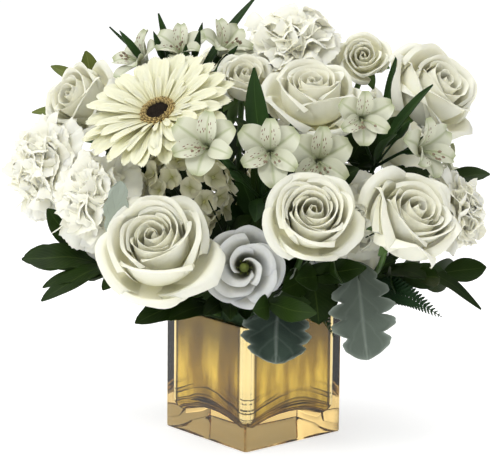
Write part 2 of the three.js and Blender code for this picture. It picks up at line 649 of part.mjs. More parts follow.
// An alstroemeria stem forks at the top into short stalks, each with a flower or a bud, and carries narrow leaves.
const SPRAYS = [
  {
    name: "alstroemeria_stem_top_left",
    path: [[-10, 12, 60], [-36, 26, 175], [-60, 34, 258]],
    flowers: [
      { name: "alstroemeria_top_left", at: [-94, 22, 301], az: -60, el: 40, radius: 25 },
      { name: "alstroemeria_top_middle", at: [-61, 6, 312], az: -10, el: 50, radius: 22 },
      { name: "alstroemeria_top_right", at: [-26, 24, 312], az: 40, el: 50, radius: 24 },
    ],
    leaves: [
      { s: 1, to: [-120, 48, 324], width: 4 },
      { s: 1, to: [-80, 44, 336], width: 8 },
      { s: 1, to: [0, 54, 350], width: 8 },
      { s: 0.85, to: [-31, -14, 300], width: 9 },
    ],
    buds: [[-78, 30, 325], [-44, 34, 330]],
  },
  {
    name: "alstroemeria_stem_middle",
    path: [[0, -14, 70], [2, -40, 150], [4, -66, 205]],
    flowers: [
      { name: "alstroemeria_left", at: [-38, -126, 257], az: -10, el: 20, radius: 27 },
      { name: "alstroemeria_middle", at: [11, -112, 250], az: 0, el: 15, radius: 27 },
      { name: "alstroemeria_centre", at: [49, -85, 239], az: 5, el: 15, radius: 28 },
    ],
    leaves: [
      { s: 1, to: [-2, -70, 308], width: 18 },
    ],
    buds: [],
  },
  {
    name: "alstroemeria_stem_right",
    path: [[24, -14, 78], [64, -2, 160], [94, -30, 224]],
    flowers: [
      { name: "alstroemeria_right", at: [82, -85, 272], az: 10, el: 10, radius: 23 },
      { name: "alstroemeria_far_right", at: [131, -70, 246], az: 45, el: 15, radius: 26 },
    ],
    leaves: [
      { s: 1, to: [110, -24, 311], width: 8 },
      { s: 1, to: [136, -70, 296], width: 12 },
      { s: 1, to: [107, -98, 262], width: 10 },
    ],
    buds: [],
  },
  {
    name: "alstroemeria_stem_back",
    path: [[28, 8, 97], [80, 30, 150], [112, 36, 190]],
    flowers: [
      { name: "alstroemeria_back", at: [50, 88, 262], az: 170, el: 40, radius: 26 },
      { name: "alstroemeria_side", at: [155, 20, 210], az: 85, el: 15, radius: 26 },
    ],
    leaves: [],
    buds: [],
  },
];

// Leaves stand on twigs. Each leaf starts at the share s of its twig. A branch starts on another twig of its stem,
// all others in the foam.
const TWIGS = [
  {
    name: "leafy_stem_left",
    twigs: [
      {
        path: [[-38, -14, 98], [-100, -42, 142], [-128, -50, 149], [-141, -32, 151]],
        radius: 1.6,
        leaves: [
          { s: 0.8, to: [-183, -60, 153], width: 28 },
          { s: 0.66, to: [-165, -80, 135], width: 16 },
          { s: 0.72, to: [-165, -92, 127], width: 18 },
          { s: 1, to: [-165, -30, 188], width: 22 },
          { s: 0.6, to: [-118, -82, 134], width: 18 },
        ],
      },
    ],
  },
  {
    name: "leafy_stem_front",
    twigs: [
      {
        path: [[-4, -36, 100], [-33, -72, 122], [-56, -80, 127]],
        radius: 1.5,
        leaves: [
          { s: 1, to: [-88, -105, 128], width: 24 },
          { s: 0.55, to: [-66, -105, 116], width: 22 },
        ],
      },
      {
        path: [[-4, -36, 100], [-12, -74, 124], [-20, -86, 134]],
        radius: 1.5,
        leaves: [
          { s: 0.8, to: [-38, -118, 123], width: 20 },
          { s: 0.5, to: [-6, -112, 119], width: 15 },
          { s: 1, to: [-18, -126, 122], width: 16 },
        ],
      },
      {
        path: [[-4, -36, 100], [20, -60, 132], [45, -78, 148]],
        radius: 1.5,
        leaves: [{ s: 1, to: [50, -106, 114], width: 36 }],
      },
    ],
  },
  {
    name: "leafy_stem_middle",
    twigs: [
      { path: [[6, -6, 98], [9, -29, 160], [23, -48, 228]], radius: 1.6, leaves: [] },
      {
        path: [[10, -30, 164], [-2, -105, 148]],
        radius: 1.1,
        branch: true,
        leaves: [{ s: 1, to: [5, -103, 200], width: 26, rows: 2, arch: 0.05, face: [0, -1, 0.25] }],
      },
      {
        path: [[19, -42.5, 208], [10, -56, 198]],
        radius: 1.1,
        branch: true,
        leaves: [{ s: 1, to: [5, -50, 242], width: 24, rows: 2, arch: 0.05, face: [0, -1, 0.25] }],
      },
      {
        path: [[22.5, -47.5, 225.5], [77, -12, 228]],
        radius: 1.1,
        branch: true,
        leaves: [{ s: 1, to: [97, -11, 265], width: 26, rows: 2, arch: 0.05, face: [0, -1, 0.25] }],
      },
      {
        path: [[69.5, -17, 227.5], [93, -4, 221]],
        radius: 1.1,
        branch: true,
        leaves: [{ s: 1, to: [72, 7, 254], width: 24, rows: 2, arch: 0.05, face: [0, -1, 0.25] }],
      },
      {
        path: [[93, -4, 221], [100, -16, 192]],
        radius: 1.1,
        branch: true,
        leaves: [{ s: 1, to: [118, -21, 224], width: 24, rows: 2, arch: 0.05, face: [0, -1, 0.25] }],
      },
      {
        path: [[36, -38.5, 226], [11, 0, 240]],
        radius: 1.1,
        branch: true,
        leaves: [{ s: 1, to: [6, 7, 296], width: 20, rows: 2, arch: 0.05, face: [0, -1, 0.25] }],
      },
      {
        path: [[3.5, -71, 155], [-31, -88, 124]],
        radius: 1.1,
        branch: true,
        leaves: [{ s: 1, to: [-39, -80, 168], width: 22, rows: 2, arch: 0.05, face: [0, -1, 0.25] }],
      },
      {
        path: [[9, -27.5, 156.5], [-37, -27, 155]],
        radius: 1.1,
        branch: true,
        leaves: [{ s: 1, to: [-31, -34, 203], width: 24, rows: 2, arch: 0.05, face: [0, -1, 0.25] }],
      },
    ],
  },
  {
    name: "leafy_stem_right",
    twigs: [
      {
        path: [[46, 0, 100], [92, -38, 136], [124, -62, 152]],
        radius: 1.6,
        leaves: [
          { s: 0.75, to: [132, -98, 149], width: 24 },
          { s: 1, to: [177, -80, 121], width: 12, peak: 0.35 },
        ],
      },
      {
        path: [[46, 0, 100], [118, 2, 168], [146, -8, 205]],
        radius: 1.4,
        leaves: [{ s: 1, to: [187, -18, 217], width: 20 }],
      },
    ],
  },
  {
    name: "olive_leaves",
    twigs: [
      {
        path: [[-26, 10, 99], [-90, 66, 190], [-134, 84, 258]],
        radius: 1.4,
        leaves: [
          { s: 1, to: [-140, 76, 291], width: 12 },
          { s: 1, to: [-162, 76, 280], width: 12 },
          { s: 0.93, to: [-176, 76, 247], width: 12 },
          { s: 0.86, to: [-158, 76, 232], width: 11 },
        ],
      },
    ],
  },
  {
    name: "leafy_stem_back_left",
    twigs: [
      {
        path: [[-30, 28, 102], [-76, 68, 136], [-112, 88, 140]],
        radius: 1.6,
        leaves: [
          { s: 1, to: [-160, 96, 132], width: 24, face: [0, 0.7, 1] },
          { s: 0.85, to: [-130, 122, 130], width: 22, face: [0, 0.7, 1] },
          { s: 0.7, to: [-88, 118, 124], width: 24, face: [0, 0.7, 1] },
          { s: 0.5, to: [-44, 112, 120], width: 24, face: [0, 0.7, 1] },
        ],
      },
    ],
  },
  {
    name: "leafy_stem_back_right",
    twigs: [
      {
        path: [[26, 34, 102], [66, 78, 132], [112, 92, 138]],
        radius: 1.6,
        leaves: [
          { s: 1, to: [156, 92, 134], width: 24, face: [0, 0.7, 1] },
          { s: 0.8, to: [118, 126, 128], width: 22, face: [0, 0.7, 1] },
          { s: 0.6, to: [66, 122, 122], width: 26, face: [0, 0.7, 1] },
          { s: 0.4, to: [16, 110, 116], width: 26, face: [0, 0.7, 1] },
        ],
      },
    ],
  },
];

// Dusty miller leaves, each on a stalk of its own.
const LOBED = [
  {
    name: "dusty_miller_front",
    foot: [6, -30, 92],
    blades: [
      { from: [20, -80, 126], to: [17, -104, 82], width: 50, lobes: 4 },
      { from: [78, -80, 158], to: [88, -105, 86], width: 48, lobes: 5 },
      { from: [14, -84, 134], to: [30, -106, 154], width: 26, lobes: 3, arch: -0.1 },
    ],
  },
  {
    name: "dusty_miller_left",
    foot: [-38, -30, 108],
    blades: [{ from: [-107, -92, 170], to: [-103, -96, 223], width: 18, lobes: 4 }],
  },
  {
    name: "dusty_miller_back",
    foot: [-2, 42, 106],
    blades: [
      { from: [-14, 86, 132], to: [-20, 112, 84], width: 48, lobes: 4, face: [0, 1, 0.6] },
    ],
  },
];

const FRONDS = [
  {
    name: "fern_fronds",
    foot: [44, -14, 101],
    fronds: [
      { from: [90, -68, 138], to: [144, -110, 122], width: 26, leaflets: 7 },
      { from: [46, -84, 128], to: [62, -108, 104], width: 15, leaflets: 4 },
    ],
  },
];

// ---------------------------------------------------------------- assembly

const parts = new THREE.Group();
const holes = Object.values(FEET).map((foot) => {
  const pocket = new THREE.BoxGeometry(12, 12, 12).translate(...foot);
  return solidOf(pocket);
});
function add(name, geometry, material, matrix) {
  const mesh = new THREE.Mesh(geometry, material.clone());
  mesh.name = name;
  if (matrix) mesh.applyMatrix4(matrix);
  parts.add(mesh);
}

// A rod that stands in the foam. It leaves a hole with some room round it.
function planted(points, radii) {
  const deep = points.length - 1;
  const ends = [points[deep - 1], points[deep]];
  const along = ends[1].clone().sub(ends[0]).normalize();
  const bottom = ends[1].clone().addScaledVector(along, 2);
  const wide = radii[deep] + Math.SQRT2 * HOLE_ROOM;
  holes.push(rod([ends[0], bottom], [wide, wide], STEM_SIDES));
  return rod(points, radii, STEM_SIDES);
}

const greens = {};
for (const bloom of BLOOMS) {
  const kind = KINDS[bloom.kind];
  const matrix = stance(bloom, kind.depth * bloom.radius);
  const colour = { rose: CREAM, carnation: WHITE, gerbera: LEMON_WHITE, lisianthus: WHITE, hydrangea: PALE_GREEN };
  add(bloom.name, geometryOf(kind.head(bloom)), colour[bloom.kind], matrix);
  if (bloom.kind === "gerbera") add("gerbera_disc", geometryOf(gerberaDisc()), DARK_DISC, matrix);
  const behind = facing(bloom.az, bloom.el).negate();
  const start = new THREE.Vector3(0, 0, -kind.low).applyMatrix4(matrix);
  const path = stemPath(start, behind, vector(FEET[bloom.foot]), bloom.via);
  const stem = planted(path, path.map(() => kind.stem));
  (greens[bloom.foot] ??= []).push(moved(kind.calyx(), matrix), stem);
}
for (const [foot, solids] of Object.entries(greens)) add("stems_" + foot, geometryOf(join(solids)), STEM_GREEN);

for (const spray of SPRAYS) {
  const main = spray.path.map(vector);
  const fork = main[main.length - 1];
  const solids = [planted([...main].reverse(), main.map(() => 1.8))];
  for (const flower of spray.flowers) {
    const matrix = stance(flower, 0.5 * flower.radius);
    add(flower.name, geometryOf(alstroemeriaHead(flower)), WHITE, matrix);
    const [neck, back] = [-GAP, -14].map((z) => new THREE.Vector3(0, 0, z).applyMatrix4(matrix));
    solids.push(rod([fork, back, neck], [1.3, 1.3, 2.2], STEM_SIDES));
  }
  for (const { s, to, width } of spray.leaves)
    solids.push(leaf({ from: alongPath(spray.path, s), to, width, peak: 0.62, arch: 0.05 }));
  for (const end of spray.buds) solids.push(bud(fork.toArray(), end, 3.2));
  add(spray.name, geometryOf(join(solids)), LEAF_GREEN);
}

for (const stem of TWIGS) {
  const solids = [];
  for (const { path, radius, leaves, branch } of stem.twigs) {
    const points = path.map(vector).reverse();
    const radii = points.map((_, i) => (i ? radius : radius * 0.7));
    solids.push(branch ? rod(points, radii, 3) : planted(points, radii));
    for (const { s, ...spec } of leaves) solids.push(leaf({ ...spec, from: alongPath(path, s) }));
  }
  add(stem.name, geometryOf(join(solids)), LEAF_GREEN);
}

for (const { name, foot, blades } of LOBED) {
  const solids = blades.map(lobedLeaf);
  for (const { from } of blades) solids.push(planted([vector(from), vector(foot)], [1.2, 1.5]));
  add(name, geometryOf(join(solids)), SILVER_GREEN);
}
for (const { name, foot, fronds } of FRONDS) {
  const solids = fronds.map(frond);
  for (const { from } of fronds) solids.push(planted([vector(from), vector(foot)], [1.2, 1.4]));
  add(name, geometryOf(join(solids)), LEAF_GREEN);
}

const cavity = roundedBlock(CAVITY, 8, GLASS_FLOOR, RIM + 10);
const vase = roundedBlock(VASE_SIDE, 2.5, 0, RIM, 1).subtract(cavity);
const skin = CAVITY - 2 * GAP;
const lining = roundedBlock(skin, 8 - GAP, GLASS_FLOOR + GAP, RIM - 2).subtract(
  roundedBlock(skin - 2 * LINING, 8 - GAP - LINING, GLASS_FLOOR + GAP + LINING, RIM + 10),
);
const foamLow = GLASS_FLOOR + 2 * GAP + LINING;
const block = roundedBlock(skin - 2 * LINING - 2 * GAP, 8 - 2 * GAP - LINING, foamLow, RIM + FOAM_RISE);
const quarterTurn = new THREE.Matrix4().makeRotationZ(radians(VASE_TURN));
add("vase", geometryOf(moved(vase, quarterTurn)), GLASS);
add("gold_lining", geometryOf(moved(lining, quarterTurn)), GOLD);
const foam = join([moved(block, quarterTurn).subtract(wasm.Manifold.union(holes))]);
add("foam", geometryOf(foam), FOAM);

export default parts;
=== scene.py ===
# A floral table centerpiece: white and cream flowers in a glass cube with a gold inside.
# Places are in millimetres in the tables and become metres in each piece. +Z is up and -Y is the front.
import json
import math
import bmesh
import bpy
import numpy as np
from mathutils import Matrix, Vector

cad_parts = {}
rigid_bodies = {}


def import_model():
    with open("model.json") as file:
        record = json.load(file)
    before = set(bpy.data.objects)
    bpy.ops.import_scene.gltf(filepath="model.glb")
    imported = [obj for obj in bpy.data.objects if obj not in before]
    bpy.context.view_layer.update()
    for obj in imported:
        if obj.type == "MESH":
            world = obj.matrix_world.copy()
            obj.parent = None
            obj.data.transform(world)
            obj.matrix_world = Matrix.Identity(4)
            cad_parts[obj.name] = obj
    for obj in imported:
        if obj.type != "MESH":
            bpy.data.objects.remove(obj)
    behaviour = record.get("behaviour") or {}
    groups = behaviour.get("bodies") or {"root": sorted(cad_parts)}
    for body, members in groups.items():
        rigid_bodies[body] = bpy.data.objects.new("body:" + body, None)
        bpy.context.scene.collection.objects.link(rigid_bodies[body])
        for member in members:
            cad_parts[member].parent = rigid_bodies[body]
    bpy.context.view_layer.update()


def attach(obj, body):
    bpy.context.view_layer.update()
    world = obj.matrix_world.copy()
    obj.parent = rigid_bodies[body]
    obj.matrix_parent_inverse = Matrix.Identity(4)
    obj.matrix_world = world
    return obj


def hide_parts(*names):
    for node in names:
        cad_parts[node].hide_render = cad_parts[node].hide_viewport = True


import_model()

MM = 0.001  # metres in a millimetre
PETAL_THICK = 0.35
LEAF_THICK = 0.5
GOLDEN = 2.39996  # the golden angle, in radians

CAMERA_TARGET = Vector((-0.00388, 0.0, 0.16695))
CAMERA_REACH = 2.0
CAMERA_RISE = math.radians(11.55)
CAMERA_ROLL = 0.56
CAMERA_LENS = 178.2  # the focal length in millimetres
CAMERA_SENSOR = 36.0  # the sensor's width in millimetres


# ---------------------------------------------------------------- the camera

def add_object(name, data):
    thing = bpy.data.objects.new(name, data)
    bpy.context.scene.collection.objects.link(thing)
    return thing


def aim(thing, place, target, roll=0.0):
    back = Vector(place) - Vector(target)
    turn = back.to_track_quat("Z", "Y").to_matrix() @ Matrix.Rotation(math.radians(roll), 3, "Z")
    thing.matrix_world = Matrix.Translation(place) @ turn.to_4x4()


def set_camera():
    lens = bpy.data.cameras.new("camera")
    lens.lens = CAMERA_LENS
    lens.sensor_width = CAMERA_SENSOR
    lens.clip_end = 20.0
    lens.dof.use_dof = False
    camera = add_object("camera", lens)
    back = Vector((0.0, -math.cos(CAMERA_RISE), math.sin(CAMERA_RISE)))
    aim(camera, CAMERA_TARGET + CAMERA_REACH * back, CAMERA_TARGET, CAMERA_ROLL)
    bpy.context.scene.camera = camera


def add_light(name, place, size, power, colour, target):
    light = bpy.data.lights.new(name, "AREA")
    light.shape = "RECTANGLE"
    light.size, light.size_y = size
    light.energy = power
    light.color = colour
    aim(add_object(name, light), place, target)


set_camera()


# ---------------------------------------------------------------- node trees

class Nodes:
    """Adds nodes to a tree. A node's inputs are given in order, as sockets or as plain values."""

    def __init__(self, tree):
        self.tree = tree

    def feed(self, socket, value):
        """Links a socket to another one, or sets its own value."""
        if isinstance(value, bpy.types.NodeSocket):
            self.tree.links.new(value, socket)
        elif value is not None:
            socket.default_value = value

    def put(self, kind, *inputs, named=None, **settings):
        node = self.tree.nodes.new(kind)
        for key, value in settings.items():
            setattr(node, key, value)
        for socket, value in zip(node.inputs, inputs):
            self.feed(socket, value)
        for key, value in (named or {}).items():
            self.feed(node.inputs[key], value)
        return node

    def math(self, operation, *values):
        return self.put("ShaderNodeMath", *values, operation=operation).outputs[0]

    def combine(self, x, y, z):
        return self.put("ShaderNodeCombineXYZ", x, y, z).outputs[0]

    def ramp(self, value, stops):
        """Colours along a value: each stop is a place and a colour."""
        node = self.put("ShaderNodeValToRGB", value)
        band = node.color_ramp.elements
        while len(band) < len(stops):
            band.new(1.0)
        for stop, (place, colour) in zip(band, stops):
            stop.position = place
            stop.color = (*colour, 1.0)
        return node.outputs[0]

    def fade(self, value, *stops):
        """Greys along a value: each stop is a place and a level."""
        return self.ramp(value, [(place, grey(level)) for place, level in stops])

    def slope(self, value, start, reach):
        """0 at the start and 1 a reach further on."""
        share = self.math("DIVIDE", self.math("SUBTRACT", value, start), reach)
        return self.math("MINIMUM", self.math("MAXIMUM", share, 0.0), 1.0)

    def mix(self, share, a, b):
        node = self.put("ShaderNodeMix", data_type="RGBA")
        for place, value in ((0, share), (6, a), (7, b)):
            self.feed(node.inputs[place], (*value, 1.0) if isinstance(value, tuple) else value)
        return node.outputs[2]


def grey(level):
    return (level, level, level)


def dimmed(colour, share):
    return tuple(share * part for part in colour)


# ---------------------------------------------------------------- materials

class Finish(Nodes):
    """A material under way: its shader, its output, its coordinates and what its pattern is made of."""

    def __init__(self, name, shader):
        self.material = bpy.data.materials.new(name)
        self.material.use_nodes = True
        super().__init__(self.material.node_tree)
        self.tree.nodes.clear()
        self.shader = self.put("ShaderNodeBsdfPrincipled", named=shader)
        self.out = self.put("ShaderNodeOutputMaterial", self.shader.outputs[0], target="ALL")
        self.place = self.put("ShaderNodeTexCoord").outputs["Object"]
        own_map = self.put("ShaderNodeUVMap", uv_map="UVMap").outputs[0]
        self.across, self.along = self.put("ShaderNodeSeparateXYZ", own_map).outputs[:2]
        self.tone = self.put("ShaderNodeAttribute", attribute_name="tone").outputs["Fac"]

    def noise(self, scale, detail=2.0, where=None, stretch=None):
        where = where or self.place
        if stretch:
            where = self.put("ShaderNodeMapping", where, named={"Scale": stretch}).outputs[0]
        return self.put("ShaderNodeTexNoise", where, named={"Scale": scale, "Detail": detail}).outputs[0]

    def mottled(self, scale, detail, dark, light, light_from=0.7):
        """Patches that go from dark to light."""
        return self.ramp(self.noise(scale, detail), [(0.3, dark), (light_from, light)])

    def fibres(self, across, along, detail):
        """Streaks that run up a petal."""
        steps = (self.math("MULTIPLY", self.across, across), self.math("MULTIPLY", self.along, along))
        return self.noise(1.0, detail, self.combine(*steps, self.tone))

    def off_rib(self):
        """How far off the midrib a point is: 0 there and 0.5 at the rim."""
        return self.math("ABSOLUTE", self.math("SUBTRACT", self.across, 0.5))

    def veins(self, side, slant, rate, sharpness):
        """Side veins that slant up from the midrib."""
        ahead = self.math("SUBTRACT", self.along, self.math("MULTIPLY", side, slant))
        wave = self.math("SINE", self.math("MULTIPLY", ahead, rate))
        return self.math("POWER", self.math("MULTIPLY_ADD", wave, 0.5, 0.5), sharpness)

    def paint(self, colour, bump=None, strength=0.3, distance=0.0005, rough=None):
        """Gives the shader its colour, and its relief and its roughness where they vary."""
        self.feed(self.shader.inputs["Base Color"], colour)
        self.feed(self.shader.inputs["Roughness"], rough)
        if bump is not None:
            relief = {"Height": bump, "Strength": strength, "Distance": distance}
            self.feed(self.shader.inputs["Normal"], self.put("ShaderNodeBump", named=relief).outputs[0])
        return self.material


# Deep colour in the heart, pale one outside, and the tint at the foot, of each kind of petal.
PETALS = {
    # The yellow of the rose's and the carnation's deep colours is partly their real cream heart and partly
    # the painted warm shade of their folds.
    "rose_petal": dict(deep=(0.93, 0.88, 0.58), pale=(0.935, 0.925, 0.76), foot=(0.86, 0.83, 0.46)),
    "carnation_petal": dict(deep=(0.94, 0.88, 0.58), pale=(0.955, 0.945, 0.81), foot=(0.90, 0.85, 0.48),
                            rough=0.6, fibre_count=30.0),
    "gerbera_petal": dict(deep=(0.76, 0.72, 0.40), pale=(0.83, 0.82, 0.58), foot=(0.73, 0.68, 0.30),
                          relief=0.7, fibre_count=7.0),
    # The lisianthus's near-black deep and foot colours are painted shade in its throat, over a real green
    # base, and its white is partly dimmed by painted shade.
    "lisianthus_petal": dict(deep=(0.17, 0.18, 0.09), pale=(0.72, 0.73, 0.70), foot=(0.05, 0.06, 0.015),
                             fibre_count=20.0, foot_reach=0.46),
    "hydrangea_petal": dict(deep=(0.60, 0.57, 0.30), pale=(0.76, 0.73, 0.52), foot=(0.44, 0.44, 0.18),
                            rough=0.6, fibre_count=9.0),
}

# Dark and light patches and the midrib of each kind of leaf.
LEAVES = {
    "glossy_leaf": dict(dark=(0.005, 0.014, 0.002), light=(0.018, 0.040, 0.005), rib=(0.045, 0.075, 0.015)),
    "lily_foliage": dict(dark=(0.006, 0.020, 0.005), light=(0.026, 0.062, 0.012), rib=(0.05, 0.10, 0.025),
                         side_veins=0.0, rough=0.45),
    "fern_leaf": dict(dark=(0.004, 0.016, 0.005), light=(0.011, 0.040, 0.010), rib=(0.03, 0.07, 0.02),
                      side_veins=0.2, rough=0.5),
    "olive_leaf": dict(dark=(0.07, 0.10, 0.02), light=(0.17, 0.20, 0.05), rib=(0.26, 0.30, 0.10), rough=0.45),
}


def petal_finish(name, deep, pale, foot, rough=0.5, relief=0.25, fibre_count=34.0, foot_reach=0.3):
    """A petal's colours by its tone and its length, in part painted shade as the table of petals says, a
    faint mottle, and streaks along it.
    """
    f = Finish(name, {
        "Roughness": rough,
        "Subsurface Weight": 0.45,
        "Subsurface Radius": (1.0, 0.9, 0.65),
        "Subsurface Scale": 0.004,
        "Specular IOR Level": 0.25,
        "Sheen Weight": 0.1,
        "Sheen Roughness": 0.4,
    })
    cast = f.ramp(f.tone, [(0.0, deep), (0.6, pale), (1.0, pale)])
    # The foot colour, strongest at a petal's foot, is painted shade in the lisianthus's throat.
    cast = f.mix(f.fade(f.along, (0.0, 1.0), (foot_reach, 0.3), (0.75, 0.0)), cast, foot)
    cast = f.mix(f.math("MULTIPLY", f.noise(90.0, 4.0), 0.10), cast, dimmed(deep, 0.86))
    fibres = f.fibres(fibre_count, 2.2, 3.0)
    streaks = f.math("MULTIPLY", f.math("SUBTRACT", fibres, 0.45), 0.16)
    return f.paint(f.mix(streaks, cast, dimmed(deep, 0.8)), bump=fibres, strength=relief, distance=0.0004)


def leaf_finish(name, dark, light, rib, rough=0.4, side_veins=0.4):
    """Leaves: a pale midrib, arched side veins and darker and lighter patches."""
    f = Finish(name, {"Specular IOR Level": 0.14})
    side = f.off_rib()
    patches = f.noise(26.0, 3.0)
    cast = f.ramp(patches, [(0.3, dark), (0.72, light)])
    cast = f.mix(f.math("MULTIPLY", f.tone, 0.55), cast, light)
    lines = f.math("MULTIPLY", f.veins(side, 0.7, 75.0, 6.0), side_veins)
    cast = f.mix(f.math("MULTIPLY", lines, 0.4), cast, rib)
    midrib = f.math("SUBTRACT", 1.0, f.math("MINIMUM", f.math("DIVIDE", side, 0.03), 1.0))
    cast = f.mix(f.math("MULTIPLY", midrib, 0.8), cast, rib)
    height = f.math("SUBTRACT", f.math("MULTIPLY", patches, 0.6), f.math("MULTIPLY", lines, 0.5))
    gloss = f.math("MULTIPLY_ADD", f.noise(70.0, 2.0), 0.25, rough - 0.12)
    return f.paint(cast, bump=height, strength=0.35, distance=0.0006, rough=gloss)


def alstroemeria_finish(name):
    """White tepals with a green midrib and tip. The two upper inner ones, whose tone is low, carry short
    red-brown dashes."""
    # The tepals' white is dimmed to a grey-cream: painted shade, as the flowers partly lie in shade.
    white, green, red_brown = (0.62, 0.635, 0.50), (0.22, 0.29, 0.07), (0.16, 0.035, 0.02)
    f = Finish(name, {
        "Roughness": 0.45,
        "Subsurface Weight": 0.2,
        "Subsurface Radius": (1.0, 0.9, 0.7),
        "Subsurface Scale": 0.002,
        "Specular IOR Level": 0.4,
    })
    off_rib = f.math("MINIMUM", f.math("MULTIPLY", f.off_rib(), 11.0), 1.0)
    rib = f.math("MULTIPLY", f.math("SUBTRACT", 1.0, off_rib), 0.5)
    tip = f.fade(f.along, (0.0, 0.6), (0.3, 0.05), (0.86, 0.0), (1.0, 0.8))
    cast = f.mix(f.math("MAXIMUM", rib, f.math("MULTIPLY", tip, 0.75)), white, green)
    grid = f.combine(f.math("MULTIPLY", f.across, 13.0), f.math("MULTIPLY", f.along, 7.0), f.tone)
    cells = f.put("ShaderNodeTexVoronoi", grid, named={"Scale": 1.0, "Randomness": 0.8}, feature="F1")
    dash = f.math("LESS_THAN", cells.outputs["Distance"], 0.26)
    inner = f.math("LESS_THAN", f.tone, 0.3)
    band = f.math("MULTIPLY", f.math("GREATER_THAN", f.along, 0.30), f.math("LESS_THAN", f.along, 0.80))
    cast = f.mix(f.math("MULTIPLY", f.math("MULTIPLY", dash, inner), band), cast, red_brown)
    return f.paint(cast, bump=f.fibres(26.0, 1.0, 2.0), strength=0.3, distance=0.0004)


def felt_finish(name):
    """Dusty miller: blue-grey felt, darkened in part by painted shade where tone is low, paler along its rim
    and its veins, and paler all over where tone is high.
    """
    f = Finish(name, {
        "Roughness": 0.9,
        "Specular IOR Level": 0.2,
        "Sheen Weight": 0.2,
        "Sheen Roughness": 0.5,
    })
    side = f.off_rib()
    # The felt's dark colours are partly painted shade. The rim, the veins and a high tone lift them towards
    # pale.
    cast = f.mottled(45.0, 4.0, (0.014, 0.028, 0.020), (0.042, 0.066, 0.050), 0.75)
    lines = f.veins(side, 0.8, 24.0, 14.0)
    rib = f.math("MAXIMUM", f.math("SUBTRACT", 1.0, f.math("MULTIPLY", side, 24.0)), 0.0)
    rim = f.math("POWER", f.math("MULTIPLY", side, 2.0), 9.0)
    border = f.math("MAXIMUM", rim, f.math("POWER", f.along, 40.0))
    inside = f.math("MULTIPLY_ADD", lines, 0.10, f.math("MULTIPLY", rib, 0.5))
    pale = f.math("MINIMUM", f.math("ADD", border, inside), 1.0)
    cast = f.mix(f.math("MULTIPLY", pale, 0.6), cast, (0.36, 0.42, 0.37))
    cast = f.mix(f.math("MULTIPLY", f.tone, 0.75), cast, (0.36, 0.41, 0.35))
    height = f.math("ADD", f.noise(900.0, 3.0), f.math("MULTIPLY", lines, -0.8))
    return f.paint(cast, bump=height, strength=0.5, distance=0.0005)


def stem_finish(name):
    f = Finish(name, {"Roughness": 0.45, "Specular IOR Level": 0.4})
    cast = f.mottled(60.0, 3.0, (0.045, 0.10, 0.02), (0.11, 0.20, 0.05))
    ridges = f.noise(8.0, 2.0, stretch=(40.0, 40.0, 3.0))
    return f.paint(cast, bump=ridges, strength=0.4, distance=0.0005)


def disc_finish(name):
    """The gerbera's eye: near black, with a golden tan ring where tone is high."""
    black, brown, tan = (0.008, 0.006, 0.003), (0.02, 0.012, 0.005), (0.78, 0.60, 0.26)
    f = Finish(name, {"Roughness": 0.75, "Specular IOR Level": 0.2})
    speck = f.noise(1500.0, 2.0)
    cast = f.ramp(f.tone, [(0.0, black), (0.3, brown), (1.0, tan)])
    cast = f.mix(f.math("MULTIPLY", speck, 0.35), cast, (0.03, 0.015, 0.008))
    return f.paint(cast, bump=speck, strength=0.3, distance=0.0003)


def anther_finish(name):
    f = Finish(name, {"Roughness": 0.8})
    cast = f.mottled(1200.0, 2.0, (0.16, 0.11, 0.07), (0.34, 0.27, 0.19))
    return f.paint(cast, bump=f.noise(2500.0), strength=0.4, distance=0.0002)


def glass_finish(name):
    """Clear glass, which looks pale gold where it is deep."""
    f = Finish(name, {"Transmission Weight": 1.0, "IOR": 1.5, "Roughness": 0.0})
    depth = f.put("ShaderNodeVolumeAbsorption", named={"Color": (0.955, 0.73, 0.10, 1.0), "Density": 13.5})
    f.feed(f.out.inputs["Volume"], depth.outputs[0])
    tint = f.mottled(6.0, 1.0, (0.985, 0.985, 0.97), (1.0, 1.0, 0.99))
    return f.paint(tint, bump=f.noise(28.0, 1.0), strength=0.12, distance=0.002)


